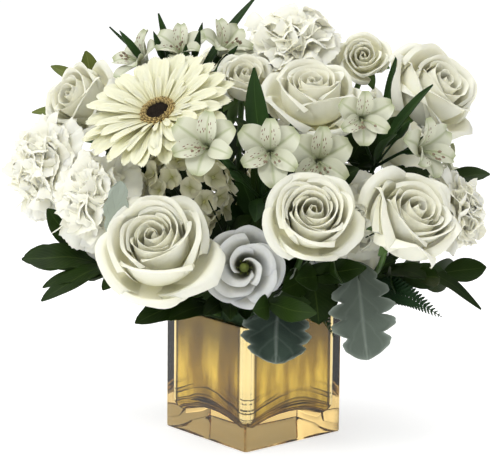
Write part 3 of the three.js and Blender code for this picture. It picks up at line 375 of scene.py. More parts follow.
def gold_finish(name):
    """Mirror gold with slow waves, as in pressed glass. Curved streaks darken it low down, a painted shade
    darkens its top where the blooms would shade it, and each round corner carries a painted highlight, a pale
    stripe, between dark stripes of painted shade. Heights and distances from the middle are in metres."""
    brown, bronze, gold = (0.11, 0.055, 0.004), (0.28, 0.165, 0.010), (0.62, 0.43, 0.06)
    # shade is the colour of the painted shade that darkens the lining's top.
    streak, shade = (0.12, 0.05, 0.008), (0.07, 0.042, 0.005)
    # The corner colours paint a dark stripe of shade and a pale highlight, as the glass's round corners would
    # show them.
    corner_painted_shade, corner_painted_highlight = (0.02, 0.01, 0.003), (0.95, 0.80, 0.42)
    streaks_end, streaks_fade = 0.050, 0.030
    # Where the painted shade of the top starts, and how much higher it reaches full strength, in metres.
    painted_shade_from, painted_shade_over = 0.054, 0.034
    # Distances from the middle of the painted dark stripes of shade and of the painted highlight.
    shade_line_from, shade_line_middle, shade_line_to = 0.0594, 0.0603, 0.0611
    highlight_from, highlight_full = 0.0609, 0.0615

    f = Finish(name, {"Metallic": 1.0, "Roughness": 0.14})
    x, y, z = f.put("ShaderNodeSeparateXYZ", f.place).outputs[:3]
    out = f.math("SQRT", f.math("ADD", f.math("MULTIPLY", x, x), f.math("MULTIPLY", y, y)))
    patches = f.noise(5.0, 3.0, stretch=(9.0, 9.0, 2.2))
    cast = f.ramp(patches, [(0.32, brown), (0.5, bronze), (0.66, gold)])
    # The streaks follow the cavity's arched floor, and fade out above it.
    bow = f.math("ADD", f.math("MULTIPLY", f.math("SUBTRACT", out, 0.047), 0.75), z)
    bands = f.math("SINE", f.math("MULTIPLY_ADD", f.noise(30.0, 2.0), 5.0, f.math("MULTIPLY", bow, 720.0)))
    dark = f.math("MULTIPLY", f.math("MAXIMUM", bands, 0.0), f.slope(z, streaks_end, -streaks_fade))
    cast = f.mix(f.math("MULTIPLY", dark, 0.8), cast, streak)
    # Painted shade: the top darkens upwards, standing in for the shade and dark reflections of the blooms
    # above.
    cast = f.mix(f.math("MULTIPLY", f.slope(z, painted_shade_from, painted_shade_over), 0.8), cast, shade)
    far = f.math("MULTIPLY", out, 10.0)  # a ramp's places run from 0 to 1
    # Each round corner gets a painted highlight, a pale stripe, between painted dark stripes of shade.
    painted_shade_line = f.fade(far, (10 * shade_line_from, 0.0), (10 * shade_line_middle, 1.0), (10 * shade_line_to, 0.0))
    painted_highlight_line = f.fade(far, (10 * highlight_from, 0.0), (10 * highlight_full, 1.0))
    cast = f.mix(f.math("MULTIPLY", painted_shade_line, 0.85), cast, corner_painted_shade)
    cast = f.mix(f.math("MULTIPLY", painted_highlight_line, 0.8), cast, corner_painted_highlight)
    waves = f.noise(13.0, 2.0, stretch=(1.0, 1.0, 0.6))
    height = f.math("ADD", waves, f.math("MULTIPLY", dark, 0.25))
    rough = f.math("MULTIPLY_ADD", f.noise(22.0, 2.0), 0.16, 0.03)
    return f.paint(cast, bump=height, strength=0.5, distance=0.006, rough=rough)


def foam_finish(name):
    f = Finish(name, {"Roughness": 0.95})
    cast = f.mottled(400.0, 3.0, (0.015, 0.04, 0.012), (0.035, 0.08, 0.025))
    cells = f.put("ShaderNodeTexVoronoi", f.place, named={"Scale": 900.0}).outputs["Distance"]
    return f.paint(cast, bump=cells, strength=0.8, distance=0.001)


OTHER_FINISHES = {
    "alstroemeria_petal": alstroemeria_finish,
    "silver_leaf": felt_finish,
    "green_stem": stem_finish,
    "gerbera_disc": disc_finish,
    "anther": anther_finish,
    "clear_glass": glass_finish,
    "gold_mirror": gold_finish,
    "wet_foam": foam_finish,
}


def make_finishes():
    made = {name: petal_finish(name, **look) for name, look in PETALS.items()}
    made.update((name, leaf_finish(name, **look)) for name, look in LEAVES.items())
    made.update((name, make(name)) for name, make in OTHER_FINISHES.items())
    return made


FINISHES = make_finishes()


# ---------------------------------------------------------------- sheets and meshes

def lerp(a, b, t):
    return a + (b - a) * t


def cubic(a, b, c, d, t):
    s = 1.0 - t
    return s * s * s * a + 3 * s * s * t * b + 3 * s * t * t * c + t * t * t * d


def unit(v):
    v = np.asarray(v, float)
    return v / max(np.linalg.norm(v), 1e-9)


def wave_of(seed, count=3, low=1.0, high=3.5):
    """A smooth random wave of one number, between about -1 and 1."""
    rng = np.random.RandomState(seed)
    rates = rng.uniform(low, high, count)
    starts = rng.uniform(0, 2 * math.pi, count)
    return lambda x: sum(np.sin(r * math.pi * x + s) for r, s in zip(rates, starts)) / count


class Sheets:
    """Collects thin closed sheets in millimetres. Each has its own map, u across and v along, and a tone."""

    def __init__(self):
        self.points, self.faces, self.maps, self.tones = [], [], [], []
        self.count = 0

    def add(self, grid, tone=0.5, thick=PETAL_THICK):
        """A sheet, a little thinner at its rim. grid[i, j] are its middle points, i across and j along."""
        grid = np.asarray(grid, float)
        m, n = grid.shape[:2]
        normal = np.cross(np.gradient(grid, axis=0), np.gradient(grid, axis=1))
        normal = normal / np.maximum(np.linalg.norm(normal, axis=2, keepdims=True), 1e-9)
        half = 0.5 * thick * np.ones((m, n, 1))
        half[0, :] = half[-1, :] = 0.3 * thick
        half[:, -1] = 0.3 * thick
        u, v = np.meshgrid(np.linspace(0, 1, m), np.linspace(0, 1, n), indexing="ij")
        tones = np.broadcast_to(np.asarray(tone, float), (m, n))
        for sign in (1, -1):
            self.points.append((grid + sign * half * normal).reshape(-1, 3))
            self.maps.append(np.stack([u, v], axis=-1).reshape(-1, 2))
            self.tones.append(tones.reshape(-1))
        at = np.arange(m * n).reshape(m, n) + self.count
        back = at + m * n
        top = np.stack([at[:-1, :-1], at[1:, :-1], at[1:, 1:], at[:-1, 1:]], axis=-1).reshape(-1, 4)
        low = np.stack([back[:-1, :-1], back[:-1, 1:], back[1:, 1:], back[1:, :-1]], axis=-1).reshape(-1, 4)
        loop = np.concatenate([at[:, 0], at[-1, 1:], at[-2::-1, -1], at[0, -2:0:-1]])
        under = loop + m * n
        edge = np.stack([np.roll(loop, -1), loop, under, np.roll(under, -1)], axis=-1)
        self.faces += [top, low, edge]
        self.count += 2 * m * n

    def mesh(self, name):
        points = np.concatenate(self.points)
        faces = np.concatenate(self.faces)
        maps = np.concatenate(self.maps)
        mesh = bpy.data.meshes.new(name)
        mesh.vertices.add(len(points))
        mesh.vertices.foreach_set("co", points.astype(np.float32).ravel())
        mesh.loops.add(faces.size)
        mesh.loops.foreach_set("vertex_index", faces.astype(np.int32).ravel())
        mesh.polygons.add(len(faces))
        mesh.polygons.foreach_set("loop_start", np.arange(0, faces.size, 4, dtype=np.int32))
        mesh.update(calc_edges=True)
        own_map = mesh.uv_layers.new(name="UVMap")
        own_map.data.foreach_set("uv", maps[faces.ravel()].astype(np.float32).ravel())
        tone = mesh.attributes.new("tone", "FLOAT", "POINT")
        tone.data.foreach_set("value", np.concatenate(self.tones).astype(np.float32))
        mesh.validate()
        soften(mesh, 55.0)
        return mesh


def soften(mesh, sharp):
    """Smooth shading, but for edges past a sharp angle in degrees."""
    mesh.polygons.foreach_set("use_smooth", np.ones(len(mesh.polygons), dtype=bool))
    mesh.set_sharp_from_angle(angle=math.radians(sharp))


def mesh_of(shape, name):
    """A plain mesh of a bmesh, which is freed."""
    mesh = bpy.data.meshes.new(name)
    shape.to_mesh(mesh)
    shape.free()
    return mesh


def joined(name, meshes):
    """One mesh of several."""
    whole = bmesh.new()
    for mesh in meshes:
        whole.from_mesh(mesh)
    return mesh_of(whole, name)


def piece(name, mesh, finish, nodes=(), matrix=None):
    """A finished piece: its mesh takes its place, goes to metres, and rides on the one body."""
    if matrix is not None:
        mesh.transform(matrix)
    mesh.transform(Matrix.Scale(MM, 4))
    mesh.materials.clear()
    mesh.materials.append(FINISHES[finish])
    thing = add_object(name, mesh)
    for node in nodes:
        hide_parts(node)
    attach(thing, "root")


# ---------------------------------------------------------------- geometry nodes

class Grower(Nodes):
    """A Geometry Nodes tree with named inputs, given as label=kind. grow() runs it once and returns a plain
    mesh. In a label and in a value's name, an underscore stands for a space."""

    def __init__(self, name, **kinds):
        super().__init__(bpy.data.node_groups.new(name, "GeometryNodeTree"))
        sockets = self.tree.interface.new_socket
        sockets("Geometry", in_out="INPUT", socket_type="NodeSocketGeometry")
        for label, kind in kinds.items():
            sockets(label.replace("_", " "), in_out="INPUT", socket_type="NodeSocket" + kind)
        sockets("Geometry", in_out="OUTPUT", socket_type="NodeSocketGeometry")
        source = self.put("NodeGroupInput")
        self.inputs = {socket.name: socket for socket in source.outputs}

    def finish(self, geometry):
        solid = self.put("GeometryNodeRealizeInstances", geometry).outputs[0]
        dressed = self.put("GeometryNodeSetMaterial", solid, named={"Material": self.inputs["Material"]})
        self.put("NodeGroupOutput", dressed.outputs[0])

    def vector(self, operation, a, b):
        return self.put("ShaderNodeVectorMath", a, b, operation=operation).outputs[0]

    def scaled(self, vector, scale):
        node = self.put("ShaderNodeVectorMath", vector, named={"Scale": scale}, operation="SCALE")
        return node.outputs[0]

    def turned(self, rotation, angle):
        """A rotation that is first turned about its own +Z."""
        spin = self.put("FunctionNodeAxisAngleToRotation", (0.0, 0.0, 1.0), angle).outputs[0]
        return self.put("FunctionNodeRotateRotation", rotation, spin, rotation_space="LOCAL").outputs[0]

    def random(self, low, high, seed_step):
        node = self.put("FunctionNodeRandomValue", data_type="FLOAT")
        self.feed(node.inputs[2], low)
        self.feed(node.inputs[3], high)
        self.feed(node.inputs["Seed"], self.math("ADD", self.inputs["Seed"], float(seed_step)))
        return node.outputs[1]

    def spread(self, label, seed_step):
        """A random number between minus and plus the input of this label."""
        reach = self.inputs[label]
        return self.random(self.math("MULTIPLY", reach, -1.0), reach, seed_step)

    def points(self):
        """As many points as the input Count says, and their order."""
        line = self.put("GeometryNodeMeshLine", named={"Count": self.inputs["Count"]}).outputs[0]
        return line, self.put("GeometryNodeInputIndex").outputs[0]

    def scatter(self, points, shapes, rotation, scale):
        """One of the shapes of an input collection at each point."""
        source = {"Collection": self.inputs[shapes], "Separate Children": True, "Reset Children": True}
        picked = {
            "Instance": self.put("GeometryNodeCollectionInfo", named=source).outputs[0],
            "Pick Instance": True,
            "Rotation": rotation,
            "Scale": scale,
        }
        return self.put("GeometryNodeInstanceOnPoints", points, named=picked).outputs[0]

    def varied_size(self, seed_step):
        share = self.math("ADD", 1.0, self.spread("Size Spread", seed_step))
        return self.math("MULTIPLY", self.inputs["Size"], share)

    def grow(self, name, start=None, **values):
        """Runs the tree with these inputs, on the start data or on an empty mesh."""
        holder = add_object(name + "_grower", start or bpy.data.meshes.new(name + "_seed"))
        modifier = holder.modifiers.new("grow", "NODES")
        modifier.node_group = self.tree
        for item in self.tree.interface.items_tree:
            label = item.name.replace(" ", "_")
            if item.item_type == "SOCKET" and item.in_out == "INPUT" and label in values:
                modifier[item.identifier] = values[label]
        graph = bpy.context.evaluated_depsgraph_get()
        graph.update()
        result = bpy.data.meshes.new_from_object(holder.evaluated_get(graph), depsgraph=graph)
        holder.modifiers.clear()
        bpy.data.objects.remove(holder)
        return result


def ring_grower():
    """Petals in one ring. Each starts near the axis, leans up by the tilt and rolls about its own length."""
    g = Grower(
        "ring of petals", Petals="Collection", Count="Int", Start="Float", Height="Float", Tilt="Float",
        Tilt_Spread="Float", Turn="Float", Turn_Spread="Float", Roll="Float", Roll_Spread="Float",
        Size="Float", Size_Spread="Float", Seed="Int", Material="Material",
    )
    i = g.inputs
    points, order = g.points()
    share = g.math("DIVIDE", g.math("MULTIPLY", order, 2 * math.pi), i["Count"])
    angle = g.math("ADD", share, g.math("ADD", i["Turn"], g.spread("Turn Spread", 1)))
    tilt = g.math("ADD", i["Tilt"], g.spread("Tilt Spread", 2))
    roll = g.math("ADD", i["Roll"], g.spread("Roll Spread", 3))
    x = g.math("MULTIPLY", g.math("COSINE", angle), i["Start"])
    y = g.math("MULTIPLY", g.math("SINE", angle), i["Start"])
    place = g.combine(x, y, i["Height"])
    stand = g.combine(roll, g.math("MULTIPLY", tilt, -1.0), angle)
    spots = g.put("GeometryNodeSetPosition", points, named={"Position": place}).outputs[0]
    rotation = g.put("FunctionNodeEulerToRotation", stand).outputs[0]
    g.finish(g.scatter(spots, "Petals", rotation, g.varied_size(4)))
    return g


def dome_grower():
    """Florets on a golden-angle spiral over a dome, or over a flat disc where the dome's arc is small."""
    g = Grower(
        "dome of florets", Florets="Collection", Count="Int", Radius="Float", Arc="Float", Flatness="Float",
        Lift="Float", Size="Float", Size_Spread="Float", Wobble="Float", Seed="Int", Material="Material",
    )
    i = g.inputs
    points, order = g.points()
    share = g.math("DIVIDE", g.math("ADD", order, 0.5), i["Count"])
    edge = g.math("SUBTRACT", 1.0, g.math("COSINE", i["Arc"]))
    polar = g.math("ARCCOSINE", g.math("SUBTRACT", 1.0, g.math("MULTIPLY", edge, share)))
    angle = g.math("MULTIPLY", order, GOLDEN)
    out = g.math("SINE", polar)
    x = g.math("MULTIPLY", g.math("COSINE", angle), out)
    y = g.math("MULTIPLY", g.math("SINE", angle), out)
    normal = g.combine(x, y, g.math("COSINE", polar))
    squashed = g.vector("MULTIPLY", normal, g.combine(1.0, 1.0, i["Flatness"]))
    place = g.vector("ADD", g.scaled(squashed, i["Radius"]), g.combine(0.0, 0.0, i["Lift"]))
    spots = g.put("GeometryNodeSetPosition", points, named={"Position": place}).outputs[0]
    jitter = g.put("FunctionNodeRandomValue", (-1.0, -1.0, -1.0), (1.0, 1.0, 1.0),
                   named={"Seed": i["Seed"]}, data_type="FLOAT_VECTOR").outputs[0]
    way = g.vector("ADD", normal, g.scaled(jitter, i["Wobble"]))
    faces = g.put("FunctionNodeAlignRotationToVector", named={"Vector": way}, axis="Z").outputs[0]
    spin = g.turned(faces, g.random(0.0, 2 * math.pi, 3))
    g.finish(g.scatter(spots, "Florets", spin, g.varied_size(5)))
    return g


def tube_grower():
    """A tube along a curve, as wide as the curve's own radius at each point, with closed ends."""
    g = Grower("stem along a path", Sides="Int", Material="Material")
    ring = g.put("GeometryNodeCurvePrimitiveCircle", named={"Resolution": g.inputs["Sides"], "Radius": 1.0})
    form = {"Fill Caps": True, "Scale": g.put("GeometryNodeInputRadius").outputs[0]}
    tube = g.put("GeometryNodeCurveToMesh", g.inputs["Geometry"], ring.outputs[0], named=form)
    g.finish(g.put("GeometryNodeSetShadeSmooth", tube.outputs[0]).outputs[0])
    return g


RINGS = ring_grower()
DOMES = dome_grower()
TUBES = tube_grower()
SHELVES = []


def shelf(name, meshes):
    """A collection of hidden shapes for a grower to repeat."""
    holder = bpy.data.collections.new(name)
    for i, mesh in enumerate(meshes):
        holder.objects.link(bpy.data.objects.new("%s_%02d" % (name, i), mesh))
    SHELVES.append(holder)
    return holder


def clear_shelves():
    for holder in SHELVES:
        for thing in list(holder.objects):
            bpy.data.objects.remove(thing)
        bpy.data.collections.remove(holder)


def smooth_path(points, steps=8):
    """A smooth line that passes through all the points."""
    p = np.asarray(points, float)
    padded = np.vstack([2 * p[0] - p[1], p, 2 * p[-1] - p[-2]])
    line = []
    for i in range(1, len(padded) - 2):
        a, b, c, d = padded[i - 1:i + 3]
        for t in np.arange(steps) / steps:
            squared = (2 * a - 5 * b + 4 * c - d) * t ** 2
            cubed = (3 * b - a - 3 * c + d) * t ** 3
            line.append(0.5 * (2 * b + (c - a) * t + squared + cubed))
    line.append(p[-1])
    return np.array(line)


def curve_through(points, radii=(1.0,), twist="MINIMUM"):
    """A plain curve for a grower, whose radii are spread evenly along it."""
    points = np.asarray(points, float)
    count = len(points)
    data = bpy.data.curves.new("path", "CURVE")
    data.dimensions = "3D"
    data.twist_mode = twist
    spline = data.splines.new("POLY")
    spline.points.add(count - 1)
    spline.points.foreach_set("co", np.hstack([points, np.ones((count, 1))]).ravel())
    wide = np.interp(np.linspace(0, 1, count), np.linspace(0, 1, len(radii)), radii)
    spline.points.foreach_set("radius", wide)
    return data


def tube(points, radii, finish="green_stem", sides=10):
    """A tube through the points, whose radii are spread evenly along it."""
    data = curve_through(points, radii)
    mesh = TUBES.grow("stem", start=data, Sides=sides, Material=FINISHES[finish])
    bpy.data.curves.remove(data)
    return mesh


def upright(heights, radii, finish="green_stem", sides=14):
    """A tube up the +Z axis."""
    return tube([(0, 0, height) for height in heights], radii, finish, sides)


# ---------------------------------------------------------------- the arrangement

# Where each stem's foot stands in the foam.
FEET = {
    "front_left": (-16, -20, 97),
    "front_right": (14, -22, 97),
    "left": (-32, 6, 84),
    "top": (2, 4, 54),
    "right": (32, -2, 84),
    "back_left": (-18, 26, 97),
    "back_right": (14, 28, 95),
    "gerbera": (-20, 0, 66),
}

# Each bloom's kind, name, heart, the azimuth and elevation that it faces, radius, foot, and the points that
# its stem passes, from the bloom down.
BLOOMS = [
    ("rose", "rose_lower_left", (-75, -128, 179), -12, 46, 46, "front_left"),
    ("rose", "rose_centre", (43, -138, 205), 5, 36, 40, "front_right"),
    ("rose", "rose_right", (117, -118, 201), 35, 42, 41, "front_right", (88, -64, 140)),
    ("rose", "rose_top", (44, -45, 283), 0, 66, 38, "top"),
    ("rose", "rose_upper_right", (141, -15, 284), 50, 38, 42, "right"),
    ("rose", "rose_far_left", (-144, 40, 265), -50, 30, 37, "left"),
    ("rose", "rose_behind_gerbera", (-9, -12, 290), 10, 50, 25, "top"),
    ("rose", "spray_rose", (86, 8, 306), -5, 30, 20, "top", (78, 26, 268), (50, 14, 180)),
    ("rose", "rose_back_left", (-75, 105, 230), 215, 30, 40, "back_left"),
    ("rose", "rose_back", (30, 120, 200), 165, 20, 40, "back_right"),
    ("rose", "rose_back_right", (115, 75, 235), 120, 30, 40, "back_right"),
    ("carnation", "carnation_far_left", (-167, 0, 216), -50, 15, 37, "left"),
    ("carnation", "carnation_left", (-123, -62, 202), -30, 15, 36, "front_left"),
    ("carnation", "carnation_top", (31, 25, 315), 0, 65, 36, "top", (27, 26, 205)),
    ("carnation", "carnation_centre", (77, -60, 191), 20, 20, 36, "front_right"),
    ("carnation", "carnation_far_right", (157, -52, 194), 75, 10, 30, "right"),
    ("carnation", "carnation_back_top", (-20, 90, 275), 180, 50, 35, "back_left"),
    ("carnation", "carnation_back_left", (-128, 60, 176), 250, 10, 32, "back_left"),
    ("lisianthus", "lisianthus_front", (-8, -122, 162), 0, 11, 29, "front_left"),
    ("lisianthus", "lisianthus_back", (110, 70, 170), 120, 5, 28, "back_right"),
    ("gerbera", "gerbera_rays", (-77, -60, 273), -31, 52, 61, "gerbera", (-58, -26, 244), (-48, -16, 215)),
    ("hydrangea", "hydrangea_front", (-54, -70, 214), -10, 10, 35, "gerbera"),
    ("hydrangea", "hydrangea_back", (-35, 115, 170), 195, 5, 35, "back_left"),
]

# Alstroemeria sprays: a stem that forks into flowers and buds, and narrow leaves that start at a share of it.
SPRAYS = [
    {
        "name": "alstroemeria_stem_top_left",
        "path": [(-10, 12, 60), (-36, 26, 175), (-60, 34, 258)],
        "flowers": [
            ("alstroemeria_top_left", (-94, 22, 301), -60, 40, 25),
            ("alstroemeria_top_middle", (-61, 6, 312), -10, 50, 22),
            ("alstroemeria_top_right", (-26, 24, 312), 40, 50, 24),
        ],
        "leaves": [
            (1, (-120, 48, 324), 4),
            (1, (-80, 44, 336), 8),
            (1, (0, 54, 350), 8),
            (0.85, (-31, -14, 300), 9),
            (0.8, (-136, -16, 240), 26),
        ],
        "buds": [
            (-78, 30, 325), (-44, 34, 330), (-82, -4, 327), (-45, -6, 329),
            (-15, 6, 315), (-110, 16, 325), (-70, -12, 309), (-56, -10, 318),
        ],
    },
    {
        "name": "alstroemeria_stem_middle",
        "path": [(0, -14, 70), (2, -40, 150), (4, -66, 205)],
        "flowers": [
            ("alstroemeria_left", (-38, -126, 257), -10, 20, 27),
            ("alstroemeria_middle", (11, -112, 250), 0, 15, 27),
            ("alstroemeria_centre", (49, -85, 239), 5, 15, 28),
        ],
        "leaves": [
            (1, (-2, -70, 308), 18),
            (1, (0, -116, 196), 13),
            (0.75, (-14, -50, 224), 22),
            (0.7, (-30, -48, 196), 22),
        ],
        "buds": [(29, -74, 268), (-20, -104, 234), (-27, -108, 246)],
    },
    {
        "name": "alstroemeria_stem_right",
        "path": [(24, -14, 78), (64, -2, 160), (94, -30, 224)],
        "flowers": [
            ("alstroemeria_right", (82, -85, 272), 10, 10, 23),
            ("alstroemeria_far_right", (131, -70, 246), 45, 15, 26),
        ],
        "leaves": [
            (1, (110, -24, 311), 8),
            (1, (136, -70, 296), 12),
            (1, (107, -98, 262), 10),
        ],
        "buds": [(140, -52, 255), (118, -84, 270)],
    },
    {
        "name": "alstroemeria_stem_back",
        "path": [(28, 8, 97), (80, 30, 150), (112, 36, 190)],
        "flowers": [
            ("alstroemeria_back", (50, 88, 262), 170, 40, 26),
            ("alstroemeria_side", (155, 20, 210), 85, 15, 26),
        ],
        "leaves": [],
        "buds": [],
    },
]

# Leafy stems: the side that their leaves face, and their twigs. A twig is a path, a radius and leaves, each
# with its share of the path, its tip, its width and, where that isn't half way along, its widest place.
TWIGS = {
    "leafy_stem_left": ("up", [
        ([(-38, -14, 98), (-100, -42, 142), (-128, -50, 149), (-141, -32, 151)], 1.6, [
            (0.8, (-183, -60, 153), 28),
            (0.66, (-165, -80, 135), 16),
            (0.72, (-165, -92, 127), 18),
            (1, (-165, -30, 188), 22),
            (0.6, (-118, -82, 134), 18),
        ]),
    ]),
    "leafy_stem_front": ("up", [
        ([(-4, -36, 100), (-33, -72, 122), (-56, -80, 127)], 1.5, [
            (1, (-88, -105, 128), 24),
            (0.55, (-66, -105, 116), 22),
            (0.8, (-92, -100, 112), 26),
        ]),
        ([(-4, -36, 100), (-12, -74, 124), (-20, -86, 134)], 1.5, [
            (0.8, (-38, -118, 123), 20),
            (0.5, (-6, -112, 119), 15),
            (1, (-18, -126, 122), 16),
        ]),
        ([(-4, -36, 100), (20, -60, 132), (45, -78, 148)], 1.5, [
            (1, (50, -106, 114), 36),
        ]),
    ]),
    "leafy_stem_middle": ("front", [
        ([(6, -6, 98), (9, -29, 160), (23, -48, 228)], 1.6, []),
        ([(10, -30, 164), (-2, -105, 148)], 1.1, [(1, (5, -103, 200), 26)]),
        ([(19, -42.5, 208), (10, -56, 198)], 1.1, [(1, (5, -50, 242), 24)]),
        ([(22.5, -47.5, 225.5), (77, -12, 228)], 1.1, [(1, (97, -11, 265), 26)]),
        ([(69.5, -17, 227.5), (93, -4, 221)], 1.1, [(1, (72, 7, 254), 24)]),
        ([(93, -4, 221), (100, -16, 192)], 1.1, [(1, (118, -21, 224), 24)]),
        ([(36, -38.5, 226), (11, 0, 240)], 1.1, [(1, (6, 7, 296), 20)]),
        ([(3.5, -71, 155), (-31, -88, 124)], 1.1, [(1, (-39, -80, 168), 22)]),
        ([(9, -27.5, 156.5), (-37, -27, 155)], 1.1, [(1, (-31, -34, 203), 24)]),
    ]),
    "leafy_stem_right": ("up", [
        ([(46, 0, 100), (92, -38, 136), (124, -62, 152)], 1.6, [
            (0.75, (132, -98, 149), 24),
            (1, (177, -80, 121), 12, 0.35),
        ]),
        ([(46, 0, 100), (118, 2, 168), (146, -8, 205)], 1.4, [
            (1, (187, -18, 217), 20),
        ]),
    ]),
    "olive_leaves": ("up", [
        ([(-26, 10, 99), (-90, 66, 190), (-134, 84, 258)], 1.4, [
            (1, (-141, 72, 301), 17, 0.6),
            (1, (-170, 72, 288), 15, 0.6),
            (0.93, (-186, 72, 249), 13, 0.6),
            (0.86, (-158, 76, 232), 11),
        ]),
    ]),
    "leafy_stem_back_left": ("back", [
        ([(-30, 28, 102), (-76, 68, 136), (-112, 88, 140)], 1.6, [
            (1, (-160, 96, 132), 24),
            (0.85, (-130, 122, 130), 22),
            (0.7, (-88, 118, 124), 24),
            (0.5, (-44, 112, 120), 24),
        ]),
    ]),
    "leafy_stem_back_right": ("back", [
        ([(26, 34, 102), (66, 78, 132), (112, 92, 138)], 1.6, [
            (1, (156, 92, 134), 24),
            (0.8, (118, 126, 128), 22),
            (0.6, (66, 122, 122), 26),
            (0.4, (16, 110, 116), 26),
        ]),
    ]),
}

# Dusty miller: a foot, and blades with their start, tip, width, lobes, arch and how pale their felt is.
# A low tone leaves a blade's felt dark, as painted shade where the blade lies in shade. A high tone makes it
# pale.
LOBED = {
    "dusty_miller_front": ((6, -30, 92), [
        ((20, -80, 126), (17, -104, 82), 50, 4, 0.08, 0.0),
        ((78, -80, 158), (88, -105, 86), 48, 5, 0.08, 0.3),
        ((14, -84, 134), (30, -106, 154), 26, 3, -0.1, 0.7),
    ]),
    "dusty_miller_left": ((-38, -30, 108), [((-107, -92, 170), (-103, -96, 223), 18, 4, 0.08, 1.2)]),
    "dusty_miller_back": ((-2, 42, 106), [((-14, 86, 132), (-20, 112, 84), 48, 4, 0.08, 0.3)]),
}
# Fern fronds: a foot, and fronds with their start, tip, width and pairs of leaflets.
FRONDS = {
    "fern_fronds": ((44, -14, 101), [
        ((90, -68, 138), (144, -110, 122), 26, 7),
        ((46, -84, 128), (62, -108, 104), 15, 4),
    ]),
}


# ---------------------------------------------------------------- places and directions

def facing(azimuth, elevation):
    a, e = math.radians(azimuth), math.radians(elevation)
    return np.array([math.sin(a) * math.cos(e), -math.cos(a) * math.cos(e), math.sin(e)])


def stance(at, azimuth, elevation, depth):
    """A bloom's own frame: +Z is the way it faces, +Y is up, and its origin lies depth behind its heart."""
    z = facing(azimuth, elevation)
    x = unit(np.cross([0.0, 0.0, 1.0], z))
    rows = np.column_stack([x, np.cross(z, x), z, np.array(at, float) - depth * z])
    return Matrix([*rows.tolist(), [0.0, 0.0, 0.0, 1.0]])


def placed(matrix, point):
    return np.array(matrix @ Vector(point))


def turned_out(turn, out, side, height):
    """Points that lie out along a direction from the axis, and to its side."""
    x = out * math.cos(turn) - side * math.sin(turn)
    y = out * math.sin(turn) + side * math.cos(turn)
    return np.stack([x, y, height], axis=-1)


# ---------------------------------------------------------------- roses and lisianthus

def wrapped_petal(R, turn, path, form, wave, seed):
    """A petal that wraps the bloom's axis. Its path of four [radius, height] shares runs out and up from the
    axis, and from form's roll_from on its rim rolls outwards by the roll, more at its two sides."""
    (r0, z0), (r1, z1), (r2, z2), (r3, z3) = path
    ripple, sway = wave_of(seed + 1, 3, 0.8, 2.6), wave_of(seed + 2, 2, 0.5, 1.4)
    span, roll = math.radians(form["span"]), form["roll"]
    across, along = 17, 14
    grid = np.zeros((across, along, 3))
    v = np.linspace(0.0, 1.0, along) ** 0.9
    for i, u in enumerate(np.linspace(-1.0, 1.0, across)):
        reach = 1.0 - form["crown"] * abs(u) ** 2.4 + 0.02 * ripple(u) + form["point"] * (1.0 - abs(u)) ** 2
        t = v * reach
        r, z = cubic(r0, r1, r2, r3, t), cubic(z0, z1, z2, z3, t)
        start = form["roll_from"] * reach
        bent = t > start
        if roll and bent.any():
            rs, zs = cubic(r0, r1, r2, r3, start), cubic(z0, z1, z2, z3, start)
            re, ze = cubic(r0, r1, r2, r3, start - 0.03), cubic(z0, z1, z2, z3, start - 0.03)
            heading = math.atan2(zs - ze, rs - re)
            length = math.hypot(r3 - rs, z3 - zs) * (t[bent] - start) / max(1e-6, 1.0 - start) * 1.05
            bend = roll * (0.55 + 0.75 * abs(u) ** 1.7 + 0.25 * sway(u))
            w = (t[bent] - start) / max(1e-6, reach - start)
            angle = heading - bend * w ** 1.4 * 0.62
            r[bent] = rs + length * np.cos(angle)
            z[bent] = zs + length * np.sin(angle)
        r = r * (1.0 + form["twist"] * u * np.minimum(1.0, 2.0 * v)) + wave * ripple(u * 1.3) * v ** 2.5
        spread = 0.42 + 0.58 * np.sin(0.5 * math.pi * np.minimum(1.0, 1.7 * v)) - 0.22 * v ** 6
        a = turn + span * u * spread
        grid[i, :, 0] = R * r * np.cos(a)
        grid[i, :, 1] = R * r * np.sin(a)
        grid[i, :, 2] = R * (z + 0.5 * wave * sway(u * 1.5) * v ** 2)
    return grid


def cup_petals(R, seed, rows, ruffle):
    """Petals round one axis. Each row says where they stand and how they bend, as pairs from its first petal
    to its last: lip, belly, waist and foot radii, high and low heights, span and roll in degrees, where the
    roll starts, twist, crown, point and tone."""
    rng = np.random.RandomState(seed)
    sheets = Sheets()
    n = 0
    for row in rows:
        for k in range(row["count"]):
            share = k / max(1.0, row["count"] - 1.0)
            ahead = share ** row.get("ease", 1.0)
            form = {key: lerp(*pair, ahead) for key, pair in row.items() if isinstance(pair, tuple)}
            at = row["turn"] + row["step"] * k + rng.uniform(-0.07, 0.07)
            lip, high, drop = form["lip"], form["high"] + rng.uniform(-0.015, 0.015), 0.0
            waist = 0.74 * form["high"]
            for angle, extra, fall in row.get("lean", ()):
                near = max(0.0, math.cos(at - math.radians(angle))) ** 4
                lip += extra * near
                drop += fall * near
                form["point"] += 0.7 * extra * near
            path = ((form["foot"], 0.12), (form["belly"], form["low"]), (form["waist"], waist - 0.4 * drop),
                    (lip, high - drop))
            form["roll"] = math.radians(form["roll"]) * rng.uniform(0.85, 1.1)
            grid = wrapped_petal(R, at, path, form, ruffle * (0.3 + share), seed * 97 + n)
            shade = np.linspace(0.3, 1.0, grid.shape[1])[None, :] * form["tone"]
            sheets.add(grid, tone=shade + 0.05 * rng.uniform(-1, 1))
            n += 1
    return sheets


ROSE_STEP = math.radians(137.5)  # from one petal of the spiral heart to the next


